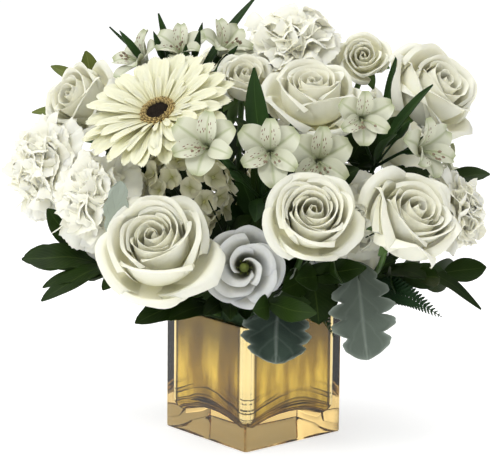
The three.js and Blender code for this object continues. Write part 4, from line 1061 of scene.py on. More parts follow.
def rose(R, seed, wide, turn, heart=12, mid=4, outer=5, height=0.74, lean=(), ruffle=0.012, flare=1.0):
    """A rose: a tight spiral heart, a few broad petals round it, and big outer petals with rolled rims, whose
    numbers are heart, mid and outer. lean lists outer petals that bend away, as an angle in degrees, an extra
    reach and a drop, and flare widens the rims of the outer petals."""
    rim = wide * flare
    rows = [
        dict(count=heart, turn=turn, step=ROSE_STEP, ease=0.9, lip=(0.04, 0.56), high=(0.97, 1.02),
             belly=(0.18, 0.66), low=(0.30, 0.10), waist=(0.12, 0.54), span=(165.0, 76.0), roll=(10.0, 70.0),
             roll_from=(0.94, 0.88), twist=(0.34, 0.12), crown=(0.05, 0.16), point=(0.0, 0.02),
             foot=(0.10, 0.12), tone=(0.55, 0.95)),
        dict(count=mid, turn=turn + 0.9, step=math.radians(98.0), lip=(0.64, 0.82 * wide), high=(1.02, 0.88),
             belly=(0.76 * wide, 0.96 * wide), low=(0.04, -0.02), waist=(0.66 * wide, 0.84 * wide),
             span=(72.0, 66.0), roll=(70.0, 115.0), roll_from=(0.89, 0.85), twist=(0.12, 0.10),
             crown=(0.18, 0.24), point=(0.03, 0.07), foot=(0.13, 0.14), tone=(0.9, 1.0)),
        dict(count=outer, turn=turn + 0.35, step=math.radians(144.0), lip=(0.96 * rim, 1.10 * rim),
             high=(height + 0.04, height - 0.14), belly=(1.0 * wide, 1.08 * wide), low=(-0.05, -0.10),
             waist=(0.88 * wide, 0.94 * wide), span=(62.0, 54.0), roll=(130.0, 170.0), roll_from=(0.80, 0.76),
             twist=(0.08, 0.08), crown=(0.26, 0.34), point=(0.10, 0.16), foot=(0.14, 0.16), tone=(1.0, 1.0),
             lean=list(lean)),
    ]
    return cup_petals(R, seed, rows, ruffle)


def lisianthus(R, seed):
    """A swirl: broad smooth petals that lap over each other round a slit of a throat, which the petals' dark
    foot colour fills with painted shade.
    """
    rows = [
        dict(count=3, turn=0.3, step=math.radians(120.0), lip=(0.38, 0.46), high=(0.84, 0.86),
             belly=(0.32, 0.38), low=(0.10, 0.10), waist=(0.24, 0.28), span=(92.0, 86.0), roll=(55.0, 70.0),
             roll_from=(0.84, 0.80), twist=(-0.42, -0.36), crown=(0.12, 0.14), point=(0.0, 0.0),
             foot=(0.09, 0.1), tone=(0.65, 0.75)),
        dict(count=4, turn=0.9, step=math.radians(95.0), lip=(0.70, 0.86), high=(0.80, 0.70),
             belly=(0.50, 0.62), low=(0.05, 0.0), waist=(0.42, 0.54), span=(76.0, 68.0), roll=(60.0, 80.0),
             roll_from=(0.82, 0.80), twist=(-0.26, -0.20), crown=(0.16, 0.18), point=(0.03, 0.03),
             foot=(0.11, 0.12), tone=(0.95, 1.0)),
        dict(count=5, turn=0.2, step=math.radians(144.0), lip=(1.0, 1.04), high=(0.52, 0.40),
             belly=(0.70, 0.78), low=(-0.02, -0.08), waist=(0.66, 0.74), span=(62.0, 56.0), roll=(60.0, 80.0),
             roll_from=(0.82, 0.80), twist=(-0.14, -0.10), crown=(0.20, 0.22), point=(0.06, 0.06),
             foot=(0.12, 0.13), tone=(1.0, 1.0)),
    ]
    return cup_petals(R, seed, rows, 0.016)


def throat(R):
    """The green pistil and the six stamens in the throat of a lisianthus."""
    parts = [upright([0.06 * R, 0.36 * R, 0.5 * R, 0.56 * R], [0.12 * R, 0.09 * R, 0.13 * R, 0.03 * R],
                     "olive_leaf", 12)]
    for k in range(6):
        out = np.array([math.cos(k * math.pi / 3), math.sin(k * math.pi / 3), 0.0])
        foot, tip = 0.05 * R * out + [0, 0, 0.2 * R], 0.2 * R * out + [0, 0, 0.5 * R]
        parts.append(tube([foot, tip], [0.3, 0.8, 1.1, 0.5], "olive_leaf", 6))
    return joined("throat", parts)


# ---------------------------------------------------------------- carnations

def ruffled_petal(seed):
    """A broad fan on a narrow claw, waved across and softly toothed at its rim, one unit long along +X."""
    rng = np.random.RandomState(seed)
    teeth = 10
    across, along = 2 * teeth + 9, 12
    ruffle, fold = wave_of(seed, 2, 1.5, 3.0), wave_of(seed + 5, 2, 0.6, 1.3)
    lean = rng.uniform(-0.12, 0.12)
    grid = np.zeros((across, along, 3))
    v = np.linspace(0.0, 1.0, along)
    for i, u in enumerate(np.linspace(-1.0, 1.0, across)):
        reach = 1.0 - 0.13 * u * u - (0.022 if i % 2 else 0.0) + 0.035 * fold(u)
        t = v * reach
        heading = np.interp(t, [0.0, 0.25, 0.5, 0.8, 1.0], [1.35, 1.05, 0.32, -0.08, -0.42])
        step = np.diff(t, prepend=0.0)
        x = np.cumsum(step * np.cos(heading))
        z = np.cumsum(step * np.sin(heading))
        side = u * np.interp(t, [0.0, 0.22, 0.45, 0.75, 1.0], [0.035, 0.08, 0.33, 0.58, 0.62])
        lift = (0.11 * ruffle(u) + 0.08 * fold(u * 1.2)) * np.clip(t - 0.2, 0, 1) ** 1.2 * 1.7
        grid[i, :, 0] = x - lift * np.sin(heading) * 0.9 - 0.08 * abs(u) ** 2 * t
        grid[i, :, 1] = side + lean * t + 0.04 * ruffle(u + 0.5) * t ** 2
        grid[i, :, 2] = z + lift * np.cos(heading)
    sheets = Sheets()
    tone = np.clip(np.linspace(0.1, 1.3, along), 0, 1)[None, :]
    sheets.add(grid, tone=tone * rng.uniform(0.88, 1.0), thick=0.014)
    return sheets.mesh("ruffled_petal")


FANS = shelf("carnation_fans", [ruffled_petal(s) for s in (11, 23, 37, 41, 59, 73)])

# From the skirt to the tuft: the number of petals, their height, tilt in degrees, length and turn. Heights
# and lengths are shares of the bloom's radius.
CARNATION_RINGS = [
    (8, 0.02, -12.0, 1.02, 0.0),
    (8, 0.06, 6.0, 0.98, 0.45),
    (7, 0.10, 22.0, 0.94, 0.1),
    (7, 0.13, 38.0, 0.92, 0.6),
    (6, 0.17, 54.0, 0.90, 0.2),
    (5, 0.20, 70.0, 0.88, 0.5),
    (3, 0.22, 84.0, 0.84, 0.9),
]


def carnation(R, seed, hanging=()):
    """Rings of ruffled petals. hanging lists the directions, in degrees, of single long petals that droop."""
    petals = dict(Petals=FANS, Start=0.05 * R, Roll_Spread=0.3, Material=FINISHES["carnation_petal"])
    rings = [
        RINGS.grow(
            "carnation_ring", Count=count, Height=height * R, Tilt=math.radians(tilt), Tilt_Spread=0.16,
            Turn=turn, Turn_Spread=0.22, Size=1.24 * size * R, Size_Spread=0.09, Seed=seed * 10 + n, **petals,
        )
        for n, (count, height, tilt, size, turn) in enumerate(CARNATION_RINGS)
    ]
    rings += [
        RINGS.grow(
            "hanging_petal", Count=1, Tilt=math.radians(-38.0), Tilt_Spread=0.1, Turn=math.radians(turn),
            Turn_Spread=0.05, Size=1.5 * R, Size_Spread=0.05, Seed=seed * 10 + 50 + n, **petals,
        )
        for n, turn in enumerate(hanging)
    ]
    return joined("carnation", rings)


# ---------------------------------------------------------------- the gerbera

def ray_petal(seed):
    """A strap one unit long, out along +X, with three creases and a notched tip."""
    rng = np.random.RandomState(seed)
    across, along = 11, 15
    grid = np.zeros((across, along, 3))
    v = np.linspace(0.0, 1.0, along)
    bow, droop = rng.uniform(-0.05, 0.05), rng.uniform(0.05, 0.14)
    sway = wave_of(seed, 2, 0.8, 2.0)
    notches = [0.0, 0.005, 0.028, 0.006, 0.0, 0.035, 0.0, 0.006, 0.026, 0.004, 0.0]
    for i, u in enumerate(np.linspace(-1.0, 1.0, across)):
        reach = 1.0 - 0.055 * u * u - notches[i]
        t = v * reach
        half = np.interp(v, [0.0, 0.25, 0.6, 0.82, 0.95, 1.0], [0.040, 0.085, 0.122, 0.122, 0.098, 0.066])
        crease = 0.014 * math.cos(3 * math.pi * u) * np.sin(math.pi * np.clip(v * 1.05, 0, 1))
        cup = 0.30 * (u * half) ** 2 / 0.1
        grid[i, :, 0] = t
        grid[i, :, 1] = u * half + bow * v ** 2
        grid[i, :, 2] = 0.22 * t - droop * t ** 2.4 + crease + cup + 0.012 * sway(v * 1.4 + u * 0.3) * v
    sheets = Sheets()
    tone = np.clip(np.linspace(0.1, 1.1, along), 0, 1)[None, :]
    sheets.add(grid, tone=tone * rng.uniform(0.82, 1.0), thick=0.012)
    return sheets.mesh("ray_petal")


RAYS = shelf("gerbera_rays_shapes", [ray_petal(s) for s in (3, 14, 25, 36, 47, 58, 69)])

# From the outside in: the number of rays, their start, height, tilt in degrees, length and turn.
GERBERA_RINGS = [
    (20, 8.0, 0.0, 0.0, 54.0, 0.0),
    (20, 8.0, 1.8, 4.5, 52.0, 0.15),
    (17, 8.0, 3.4, 9.5, 43.0, 0.05),
    (17, 10.5, 5.0, 16.0, 22.0, 0.1),
]


def gerbera():
    return joined("gerbera", [
        RINGS.grow(
            "gerbera_ring", Petals=RAYS, Count=count, Start=start, Height=height, Tilt=math.radians(tilt),
            Tilt_Spread=0.045, Turn=turn, Turn_Spread=0.05, Roll=0.12, Roll_Spread=0.14, Size=size,
            Size_Spread=0.05, Seed=70 + n, Material=FINISHES["gerbera_petal"],
        )
        for n, (count, start, height, tilt, size, turn) in enumerate(GERBERA_RINGS)
    ])


# The ring of stamens, from the inside out: radius, height, number, size and tilt in degrees.
STAMEN_RINGS = [
    (9.8, 7.8, 50, 2.7, 80.0),
    (11.4, 7.5, 58, 3.0, 72.0),
    (13.0, 7.2, 64, 2.9, 58.0),
    (14.4, 6.6, 60, 2.6, 40.0),
]

# The radius and height of the plate under the florets, from its middle to its rim.
DISC_PLATE = [(0.1, 7.0), (4.0, 6.9), (8.0, 6.6), (11.5, 6.3), (14.8, 5.6), (15.2, 4.7)]


def tiny_floret(tone, lying=False):
    """A pointed six-sided floret of the disc, one unit tall up +Z, or lying along +X for the ring grower."""
    shape = bmesh.new()
    bmesh.ops.create_cone(shape, cap_ends=True, segments=6, radius1=0.42, radius2=0.12, depth=1.0)
    mesh = mesh_of(shape, "tiny_floret")
    mesh.uv_layers.new(name="UVMap")
    marks = mesh.attributes.new("tone", "FLOAT", "POINT")
    marks.data.foreach_set("value", [tone * (1.0 if v.co.z > 0 else 0.5) for v in mesh.vertices])
    if lying:
        mesh.transform(Matrix.Rotation(math.radians(90.0), 4, "Y"))
    return mesh


def gerbera_disc():
    """A dark dome of closed florets inside a ring of golden stamens."""
    dark = shelf("dark_florets", [tiny_floret(tone) for tone in (0.0, 0.08, 0.18)])
    gold = shelf("gold_florets", [tiny_floret(tone, lying=True) for tone in (1.0, 0.85, 0.6)])
    finish = FINISHES["gerbera_disc"]
    parts = [DOMES.grow(
        "eye", Florets=dark, Count=260, Radius=18.0, Arc=0.52, Flatness=0.2, Lift=3.6, Size=1.35,
        Size_Spread=0.25, Wobble=0.15, Seed=5, Material=finish,
    )]
    for n, (radius, height, count, size, tilt) in enumerate(STAMEN_RINGS):
        parts.append(RINGS.grow(
            "stamens", Petals=gold, Count=count, Start=radius, Height=height, Tilt=math.radians(tilt),
            Tilt_Spread=0.3, Turn=0.1 * n, Turn_Spread=0.03, Roll_Spread=0.2, Size=size, Size_Spread=0.3,
            Seed=90 + n, Material=finish,
        ))
    plate = Sheets()
    round_about = np.linspace(0, 2 * math.pi, 33)
    plate.add([[(r * math.cos(a), r * math.sin(a), h) for r, h in DISC_PLATE] for a in round_about],
              tone=0.05, thick=0.8)
    parts.append(plate.mesh("disc_plate"))
    return joined("gerbera_disc", parts)


# ---------------------------------------------------------------- hydrangeas

def four_petals(seed):
    """A floret of four rounded petals round a small eye, one unit in radius, facing +Z."""
    rng = np.random.RandomState(seed)
    sheets = Sheets()
    across, along = 7, 6
    v = np.linspace(0.06, 1.0, along)
    for k in range(4):
        turn = k * math.pi / 2 + rng.uniform(-0.1, 0.1)
        lift, curl = rng.uniform(0.30, 0.62), rng.uniform(0.1, 0.35)
        grid = np.zeros((across, along, 3))
        for i, u in enumerate(np.linspace(-1.0, 1.0, across)):
            reach = v * (1.0 - 0.10 * u * u + (0.0 if abs(u) > 0.2 else -0.05))
            side = u * 0.66 * np.sin(math.pi * np.clip(0.08 + 0.72 * v, 0, 1)) ** 0.7
            height = lift * v - curl * v ** 3 + 0.22 * u * u * v
            grid[i] = turned_out(turn, reach, side, height)
        sheets.add(grid, tone=np.linspace(0.1, 1.0, along)[None, :] * rng.uniform(0.6, 1.0), thick=0.05)
    mesh = sheets.mesh("four_petals")
    eye = bmesh.new()
    eye.from_mesh(mesh)
    bmesh.ops.create_icosphere(eye, subdivisions=1, radius=0.13, matrix=Matrix.Translation((0, 0, 0.1)))
    eye.to_mesh(mesh)
    eye.free()
    return mesh


FLORETS = shelf("hydrangea_florets", [four_petals(s) for s in (2, 4, 8, 16, 32)])


def hydrangea(R, seed):
    """Two domes of florets, one inside the other. Each row has their number, radius, arc, lift and size."""
    domes = [
        DOMES.grow(
            "florets", Florets=FLORETS, Count=count, Radius=radius * R, Arc=arc, Flatness=0.62, Lift=lift * R,
            Size=size, Size_Spread=spread, Wobble=wobble, Seed=seed + n, Material=FINISHES["hydrangea_petal"],
        )
        for n, (count, radius, arc, lift, size, spread, wobble) in enumerate([
            (34, 0.93, 1.85, 0.30, 9.6, 0.16, 0.35),
            (23, 0.78, 1.8, 0.26, 8.6, 0.15, 0.3),
        ])
    ]
    return joined("hydrangea", domes)


# ---------------------------------------------------------------- alstroemerias

def tepal(R, turn, half, belly, rim, lip, seed, curl):
    """A tepal whose path of [radius, height] shares runs out past its belly and rim to its lip."""
    ripple = wave_of(seed, 2, 0.8, 2.2)
    across, along = 11, 15
    grid = np.zeros((across, along, 3))
    v = np.linspace(0.0, 1.0, along)
    for i, u in enumerate(np.linspace(-1.0, 1.0, across)):
        radius = R * cubic(0.05, belly[0], rim[0], lip[0], v) + R * 0.03 * v ** 3
        height = R * (cubic(0.06, belly[1], rim[1], lip[1], v) - curl * v ** 5)
        side = u * R * (0.04 + half * np.sin(math.pi * np.power(0.96 * v, 1.35)) ** 0.7)
        groove = R * (-0.03 * math.exp(-(u / 0.22) ** 2) + 0.09 * u * u) * np.minimum(1.0, 2 * v)
        groove = groove + R * 0.03 * ripple(u + 0.4 * turn) * v ** 2
        grid[i] = turned_out(turn, radius, side, height + groove)
    return grid


def alstroemeria(R, seed):
    """A funnel of three broad outer tepals and three narrower inner ones, of which two are dashed."""
    rng = np.random.RandomState(seed)
    sheets = Sheets()
    for k in range(3):
        turn = math.radians(30 + 120 * k) + rng.uniform(-0.16, 0.16)
        far, deep = rng.uniform(0.88, 1.04), rng.uniform(-0.10, 0.12)
        grid = tepal(R, turn, 0.38, (0.12, 0.5), (0.55 * far, 0.72), (far, 0.84 - deep), seed + k, curl=0.14)
        sheets.add(grid, tone=0.8, thick=0.4)
    for k in range(3):
        turn = math.radians(90 + 120 * k) + rng.uniform(-0.16, 0.16)
        grid = tepal(R, turn, 0.25, (0.1, 0.55), (0.40, 0.85), (0.86, 1.02), seed + 9 + k, curl=0.16)
        sheets.add(grid, tone=0.1 if k < 2 else 0.7, thick=0.4)
    return sheets.mesh("alstroemeria")


def stamens(R, seed):
    """Six curved filaments with grey-brown anthers."""
    rng = np.random.RandomState(seed)
    threads, anthers = [], []
    for k in range(6):
        a = math.radians(-90 + rng.uniform(-55, 55))
        reach, high = R * rng.uniform(0.16, 0.42), R * rng.uniform(0.85, 1.06)
        foot = np.array([0.03 * R * math.cos(k), 0.03 * R * math.sin(k), 0.1 * R])
        knee = np.array([0.4 * reach * math.cos(a), 0.4 * reach * math.sin(a), 0.62 * high])
        tip = np.array([reach * math.cos(a), reach * math.sin(a), high])
        threads.append(tube(smooth_path([foot, knee, tip], 5), [0.45, 0.35], "alstroemeria_petal", 5))
        ends = [tip + unit(tip - knee) * s for s in (-1.6, -0.9, 0.6, 1.6)]
        anthers.append(tube(ends, [0.3, 0.95, 0.95, 0.3], "anther", 6))
    return joined("filaments", threads), joined("anthers", anthers)


# ---------------------------------------------------------------- leaves

def leaf_grid(start, end, width, arch=0.08, fold=0.15, face=(0.0, -0.7, 1.0), peak=0.5, seed=0, across=9,
              along=17, point=1.0, ripple=0.03):
    """A leaf from one point to another, widest at the share peak of its length. Its upper side faces face."""
    start, end = np.asarray(start, float), np.asarray(end, float)
    axis = end - start
    length = np.linalg.norm(axis)
    ahead = axis / length
    side = unit(np.cross(ahead, face))
    up = np.cross(side, ahead)
    power = math.log(0.5) / math.log(peak)
    wave, edge = wave_of(seed, 2, 0.6, 1.6), wave_of(seed + 3, 3, 1.5, 4.0)
    v = np.linspace(0.0, 1.0, along)
    hump = np.sin(math.pi * v)
    stalk = 0.7  # half of the leaf's width at its foot and its tip
    outline = stalk + (width / 2 - stalk) * np.sin(math.pi * np.power(v, power)) ** point
    bend = 4 * arch * length * v * (1 - v) + 0.02 * length * wave(v * 1.6) * hump
    sway = 0.03 * length * wave(v + 2.0) * hump
    grid = np.zeros((across, along, 3))
    for i, u in enumerate(np.linspace(-1.0, 1.0, across)):
        lift = fold * abs(u) ** 1.4 * outline + ripple * width * edge(v * 2.2 + u) * abs(u) ** 2
        grid[i] = start + np.outer(v, axis) + np.outer(-u * outline + sway, side) + np.outer(bend + lift, up)
    return grid


def lobed_grid(start, end, width, lobes, arch, face, seed):
    """A blade cut into blunt lobes, each with smaller scallops, down both its sides."""
    across, along = 13, 14 * lobes + 1
    grid = leaf_grid(start, end, width, arch=arch, face=face, seed=seed, across=across, along=along,
                     ripple=0.05, point=0.5, peak=0.55)
    v = np.linspace(0.0, 1.0, along)
    spine = grid[across // 2].copy()
    deep = 0.26 if lobes < 5 else 0.48
    for i, u in enumerate(np.linspace(-1.0, 1.0, across)):
        shift = 0.13 if u > 0 else 0.0
        lobe = np.abs(np.sin(math.pi * (lobes * (v + 0.03 * np.sin(7.0 * v + seed)) + shift))) ** 0.6
        scallop = np.abs(np.sin(3 * math.pi * (lobes * v + shift))) ** 0.8
        cut = 1.0 - abs(u) * (deep * (1 - lobe) + 0.05 * (1 - scallop)) * np.minimum(1.0, 3.5 * v)
        grid[i] = spine + (grid[i] - spine) * (1.12 * cut)[:, None]
    return grid


def along_path(path, share):
    """The point at a share of a path's length."""
    path = np.asarray(path, float)
    steps = np.linalg.norm(np.diff(path, axis=0), axis=1)
    marks = np.concatenate([[0.0], np.cumsum(steps)]) / steps.sum()
    return np.array([np.interp(share, marks, path[:, k]) for k in range(3)])


def leaflet_shape():
    """A fern's leaflet one unit long, out along +X, with a scalloped edge."""
    across, along = 5, 9
    grid = np.zeros((across, along, 3))
    v = np.linspace(0.0, 1.0, along)
    for i, u in enumerate(np.linspace(-1.0, 1.0, across)):
        half = 0.03 + 0.25 * (1 - v) ** 0.6 * (1.0 - 0.35 * (np.arange(along) % 2))
        grid[i, :, 0] = v + 0.1 * abs(u)
        grid[i, :, 1] = u * half
        grid[i, :, 2] = -0.12 * v * v + 0.05 * abs(u)
    sheets = Sheets()
    sheets.add(grid, tone=0.5, thick=0.03)
    return sheets.mesh("leaflet")


def fern_grower():
    """Leaflets in pairs along a rib, longest at a third of its length."""
    g = Grower("fern along its rib", Leaflets="Collection", Pairs="Int", Length="Float", Lean="Float",
               Material="Material")
    i = g.inputs
    line = g.put("GeometryNodeResampleCurve", i["Geometry"], named={"Count": i["Pairs"]}).outputs[0]
    share = g.put("GeometryNodeSplineParameter").outputs[0]
    rise = g.math("MINIMUM", g.math("MULTIPLY_ADD", share, 3.4, 0.35), 1.0)
    fall = g.math("POWER", g.math("SUBTRACT", 1.02, share), 0.75)
    size = g.math("MULTIPLY", i["Length"], g.math("MULTIPLY", rise, fall))
    ahead = g.put("GeometryNodeInputTangent").outputs[0]
    up = g.put("GeometryNodeInputNormal").outputs[0]
    along = g.put("FunctionNodeAxesToRotation", ahead, up, primary_axis="X", secondary_axis="Z").outputs[0]
    both = g.put("GeometryNodeJoinGeometry")
    for sign in (1.0, -1.0):
        turn = g.turned(along, g.math("MULTIPLY", i["Lean"], sign))
        g.feed(both.inputs[0], g.scatter(line, "Leaflets", turn, size))
    g.finish(both.outputs[0])
    return g


FERNS = fern_grower()
LEAFLETS = shelf("fern_leaflets", [leaflet_shape()])


def fern(start, end, width, pairs):
    start, end = np.asarray(start, float), np.asarray(end, float)
    middle = 0.5 * (start + end) + np.array([0.0, 0.0, 0.06 * np.linalg.norm(end - start)])
    line = smooth_path([start, middle, end])
    rib = curve_through(line, twist="Z_UP")
    blades = FERNS.grow("fern", start=rib, Leaflets=LEAFLETS, Pairs=pairs * 3, Length=width * 0.62, Lean=0.9,
                        Material=FINISHES["fern_leaf"])
    bpy.data.curves.remove(rib)
    return joined("fern", [blades, tube(line, [0.8, 0.3], "fern_leaf", 6)])


# ---------------------------------------------------------------- the vase

VASE_SIDE = 101.6
VASE_TURN = math.radians(40.3)
WALL = 4.5
GLASS_FLOOR = 16.0
RIM = VASE_SIDE
CAVITY = VASE_SIDE - 2 * WALL
CORNER = 2.5
CAVITY_CORNER = 8.0
FLOOR_FILLET = 9.0
FLOOR_ARCH = 8.0

# The height and inset of the glass from the middle of its base up to its rim, and down its inside.
OUTSIDE = [
    (0.6, 20.0), (0.6, 8.0), (0.0, 5.0), (0.0, 1.2), (0.35, 0.35), (1.2, 0.0), (12.0, 0.0), (30.0, 0.0),
    (60.0, 0.0), (RIM - 1.4, 0.0), (RIM - 0.4, 0.3), (RIM, 1.1),
]
INSIDE = [(RIM, -1.1), (RIM - 0.4, -0.3), (RIM - 1.4, 0.0), (60.0, 0.0)]

# The mirror lies in the glass, so that no film of air shows between them.
MIRROR_BITE = 0.05
MIRROR_THICK = 0.8
MIRROR_TOP = RIM - 2.0

# The foam's side, and its heights and insets from its foot to its top.
FOAM_SIDE = CAVITY - 5.0
FOAM_RINGS = [
    (32.0, 12.0), (34.0, 4.0), (50.0, 0.0), (80.0, 0.0), (100.0, 0.0), (112.0, 0.6), (115.4, 2.5),
    (116.2, 5.0), (116.3, 14.0), (116.1, 26.0),
]


def rounded_square(side, corner):
    """Points round a square with round corners, anticlockwise, with some along its flats."""
    steps, flats = 7, 6
    half = side / 2 - corner
    points = []
    for k in range(4):
        middle = math.pi / 4 + k * math.pi / 2
        centre = np.array([math.copysign(half, math.cos(middle)), math.copysign(half, math.sin(middle))])
        for j in range(steps + 1):
            a = k * math.pi / 2 + j * math.pi / 2 / steps
            points.append(centre + corner * np.array([math.cos(a), math.sin(a)]))
        last = points[-1]
        ahead = np.array([-math.sin((k + 1) * math.pi / 2), math.cos((k + 1) * math.pi / 2)])
        for j in range(1, flats):
            points.append(last + ahead * 2 * half * j / flats)
    return np.array(points)


def loft(loops):
    """A closed mesh through loops of equal length, with a fan at its first and last."""
    shape = bmesh.new()
    rows = [[shape.verts.new(p) for p in loop] for loop in loops]
    for a, b in zip(rows, rows[1:]):
        for i in range(len(a)):
            j = (i + 1) % len(a)
            shape.faces.new((a[i], a[j], b[j], b[i]))
    for row, backwards in ((rows[0], True), (rows[-1], False)):
        hub = shape.verts.new(sum((v.co for v in row), Vector()) / len(row))
        for i in range(len(row)):
            a, b = row[i], row[(i + 1) % len(row)]
            shape.faces.new((hub, b, a) if backwards else (hub, a, b))
    bmesh.ops.recalc_face_normals(shape, faces=shape.faces[:])
    mesh = mesh_of(shape, "loft")
    mesh.uv_layers.new(name="UVMap")
    soften(mesh, 40.0)
    mesh.transform(Matrix.Rotation(VASE_TURN, 4, "Z"))
    return mesh


def rings_at(side, corner, profile):
    """Loops round the vase at the heights and insets of a profile."""
    rings = []
    for height, inset in profile:
        flat = rounded_square(side - 2 * inset, corner)
        rings.append(np.column_stack([flat, np.full(len(flat), height)]))
    return rings


def cavity_rings(side, corner, low, fillet):
    """The cavity's lower part, from its wall to its floor. Its floor arches up along each side, so that it is
    deepest in the four corners."""
    flat = rounded_square(side, corner)
    big, small = np.max(np.abs(flat), axis=1), np.min(np.abs(flat), axis=1)
    edge = low + FLOOR_ARCH * (1.0 - (small / big) ** 2.2)
    rings = []
    for t in np.linspace(0.0, 1.0, 8):
        inward = fillet * (1 - math.cos(t * math.pi / 2))
        height = edge + fillet * (1 - math.sin(t * math.pi / 2))
        rings.append(np.column_stack([flat * (1 - inward / (side / 2)), height]))
    last = rings[-1]
    middle = low + 0.75 * FLOOR_ARCH
    for share in (0.85, 0.65, 0.42, 0.2):
        ring = last.copy()
        ring[:, :2] *= share
        ring[:, 2] = middle + (last[:, 2] - middle) * share ** 1.5
        rings.append(ring)
    return rings


def make_vase():
    wall = rings_at(VASE_SIDE, CORNER, OUTSIDE) + rings_at(CAVITY, CAVITY_CORNER, INSIDE)
    glass = loft(wall + cavity_rings(CAVITY, CAVITY_CORNER, GLASS_FLOOR, FLOOR_FILLET))
    piece("vase_glass", glass, "clear_glass", ["vase"])
    skin, low = CAVITY + 2 * MIRROR_BITE, GLASS_FLOOR - MIRROR_BITE
    thin, thin_corner = skin - 2 * MIRROR_THICK, CAVITY_CORNER - MIRROR_THICK
    outer = cavity_rings(skin, CAVITY_CORNER, low, FLOOR_FILLET)[::-1]
    outer += rings_at(skin, CAVITY_CORNER, [(60.0, 0.0), (MIRROR_TOP, 0.0)])
    inner = rings_at(thin, thin_corner, [(MIRROR_TOP, 0.0), (60.0, 0.0)])
    inner += cavity_rings(thin, thin_corner, low + MIRROR_THICK, FLOOR_FILLET - MIRROR_THICK)
    piece("gold_mirror", loft(outer + inner), "gold_mirror", ["gold_lining"])


def make_foam():
    """Wet foam: a block with slightly crushed edges and pocks."""
    rng = np.random.RandomState(8)
    rings = [ring + rng.uniform(-0.25, 0.25, ring.shape) for ring in rings_at(FOAM_SIDE, 7.0, FOAM_RINGS)]
    piece("foam_block", loft(rings), "wet_foam", ["foam"])


# ---------------------------------------------------------------- calyxes, stems and buds

def calyx_leaves(neck, reach, drop, seed):
    """Five sepals under a bloom, in the bloom's own frame."""
    sheets = Sheets()
    rng = np.random.RandomState(seed)
    for k in range(5):
        a = 2 * math.pi * k / 5 + rng.uniform(-0.1, 0.1)
        out = np.array([math.cos(a), math.sin(a), 0.0])
        foot, tip = out * neck * 0.7 + [0, 0, -1.0], out * reach + [0, 0, -drop * reach]
        grid = leaf_grid(foot, tip, 0.5 * reach, arch=0.12, fold=0.2, face=(0, 0, 1), peak=0.35,
                         seed=seed + k, across=5, along=8)
        sheets.add(grid, tone=0.6, thick=0.4)
    return sheets.mesh("sepals")


def rose_cup():
    base = upright([-13.0, -9.0, -5.5, -2.5, -0.4], [2.6, 3.0, 4.6, 5.2, 3.6])
    return joined("rose_cup", [base, calyx_leaves(6.0, 20.0, drop=0.5, seed=3)])


def carnation_cup():
    base = upright([-26.0, -22.0, -14.0, -5.0, 2.0], [2.2, 4.2, 6.0, 6.3, 6.8])
    return joined("carnation_cup", [base, calyx_leaves(6.4, 11.0, drop=-0.45, seed=5)])


def lisianthus_cup():
    return joined("lisianthus_cup", [plain_cup(3.6, 11.0), calyx_leaves(3.2, 12.0, drop=0.2, seed=9)])


def plain_cup(radius, length):
    heights = [-length, -0.6 * length, -0.25 * length, -0.2]
    return upright(heights, [0.5 * radius, 0.8 * radius, radius, 0.9 * radius], sides=12)


# Of each kind of bloom: the depth of its origin behind its heart as a share of its radius, its calyx, and its
# stem's radius and start below the origin.
KINDS = {
    "rose": (0.56, rose_cup, 2.4, 11.0),
    "carnation": (0.45, carnation_cup, 1.8, 25.0),
    "gerbera": (0.13, lambda: plain_cup(7.0, 8.0), 2.8, 6.0),
    "lisianthus": (0.5, lisianthus_cup, 1.8, 10.0),
    "hydrangea": (0.45, lambda: plain_cup(5.0, 9.0), 2.8, 8.0),
}


def stem_path(start, behind, foot, via):
    if via:
        return [start] + [np.array(p, float) for p in via] + [foot]
    knee = start + 0.38 * np.linalg.norm(foot - start) * behind
    return [start, 0.25 * start + 0.5 * knee + 0.25 * foot, foot]


def bud(start, end):
    """A closed bud on its thin stalk. Each place is a share of the whole way, with the radius there."""
    a, b = np.asarray(start, float), np.asarray(end, float)
    outline = [(0, 0.9), (0.5, 0.9), (0.62, 1.4), (0.72, 3.2), (0.84, 3.04), (0.94, 1.6), (1, 0.3)]
    points = [a + (b - a) * share for share, radius in outline]
    return tube(points, [radius for share, radius in outline], "lily_foliage")


# ---------------------------------------------------------------- assembly

# How each rose of the front differs: its width, turn, numbers of petals, their height, ruffle and flare, and
# the petals that bend away.
ROSES = {
    "rose_lower_left": dict(wide=0.86, turn=0.5, lean=[(-45, 0.22, 0.28), (-110, 0.0, 0.12)]),
    "rose_centre": dict(wide=0.78, turn=1.7, lean=[(-100, 0.03, 0.20)]),
    "rose_right": dict(wide=0.86, heart=10, height=0.96, flare=0.84, turn=2.6, lean=[(-80, 0.02, 0.08)]),
    "rose_top": dict(wide=0.92, heart=11, turn=0.9, height=0.70, lean=[(-90, 0.10, 0.24)]),
    "rose_upper_right": dict(wide=0.88, heart=10, turn=3.3, lean=[(-40, 0.1, 0.15)], ruffle=0.03),
    "rose_far_left": dict(wide=0.80, heart=9, turn=3.5, height=0.70, lean=[(-150, 0.06, 0.1)]),
    "rose_behind_gerbera": dict(wide=0.82, heart=8, mid=3, outer=4, height=0.86, turn=0.2),
    "spray_rose": dict(wide=0.95, heart=8, mid=3, outer=4, turn=1.2, ruffle=0.03),
}


# Directions, in degrees seen from the front of the bloom, of a carnation's long drooping petals.
DROOPS = {
    "carnation_left": (-78.0, -104.0),
    "carnation_far_left": (-96.0,),
    "carnation_centre": (-70.0, -100.0),
}


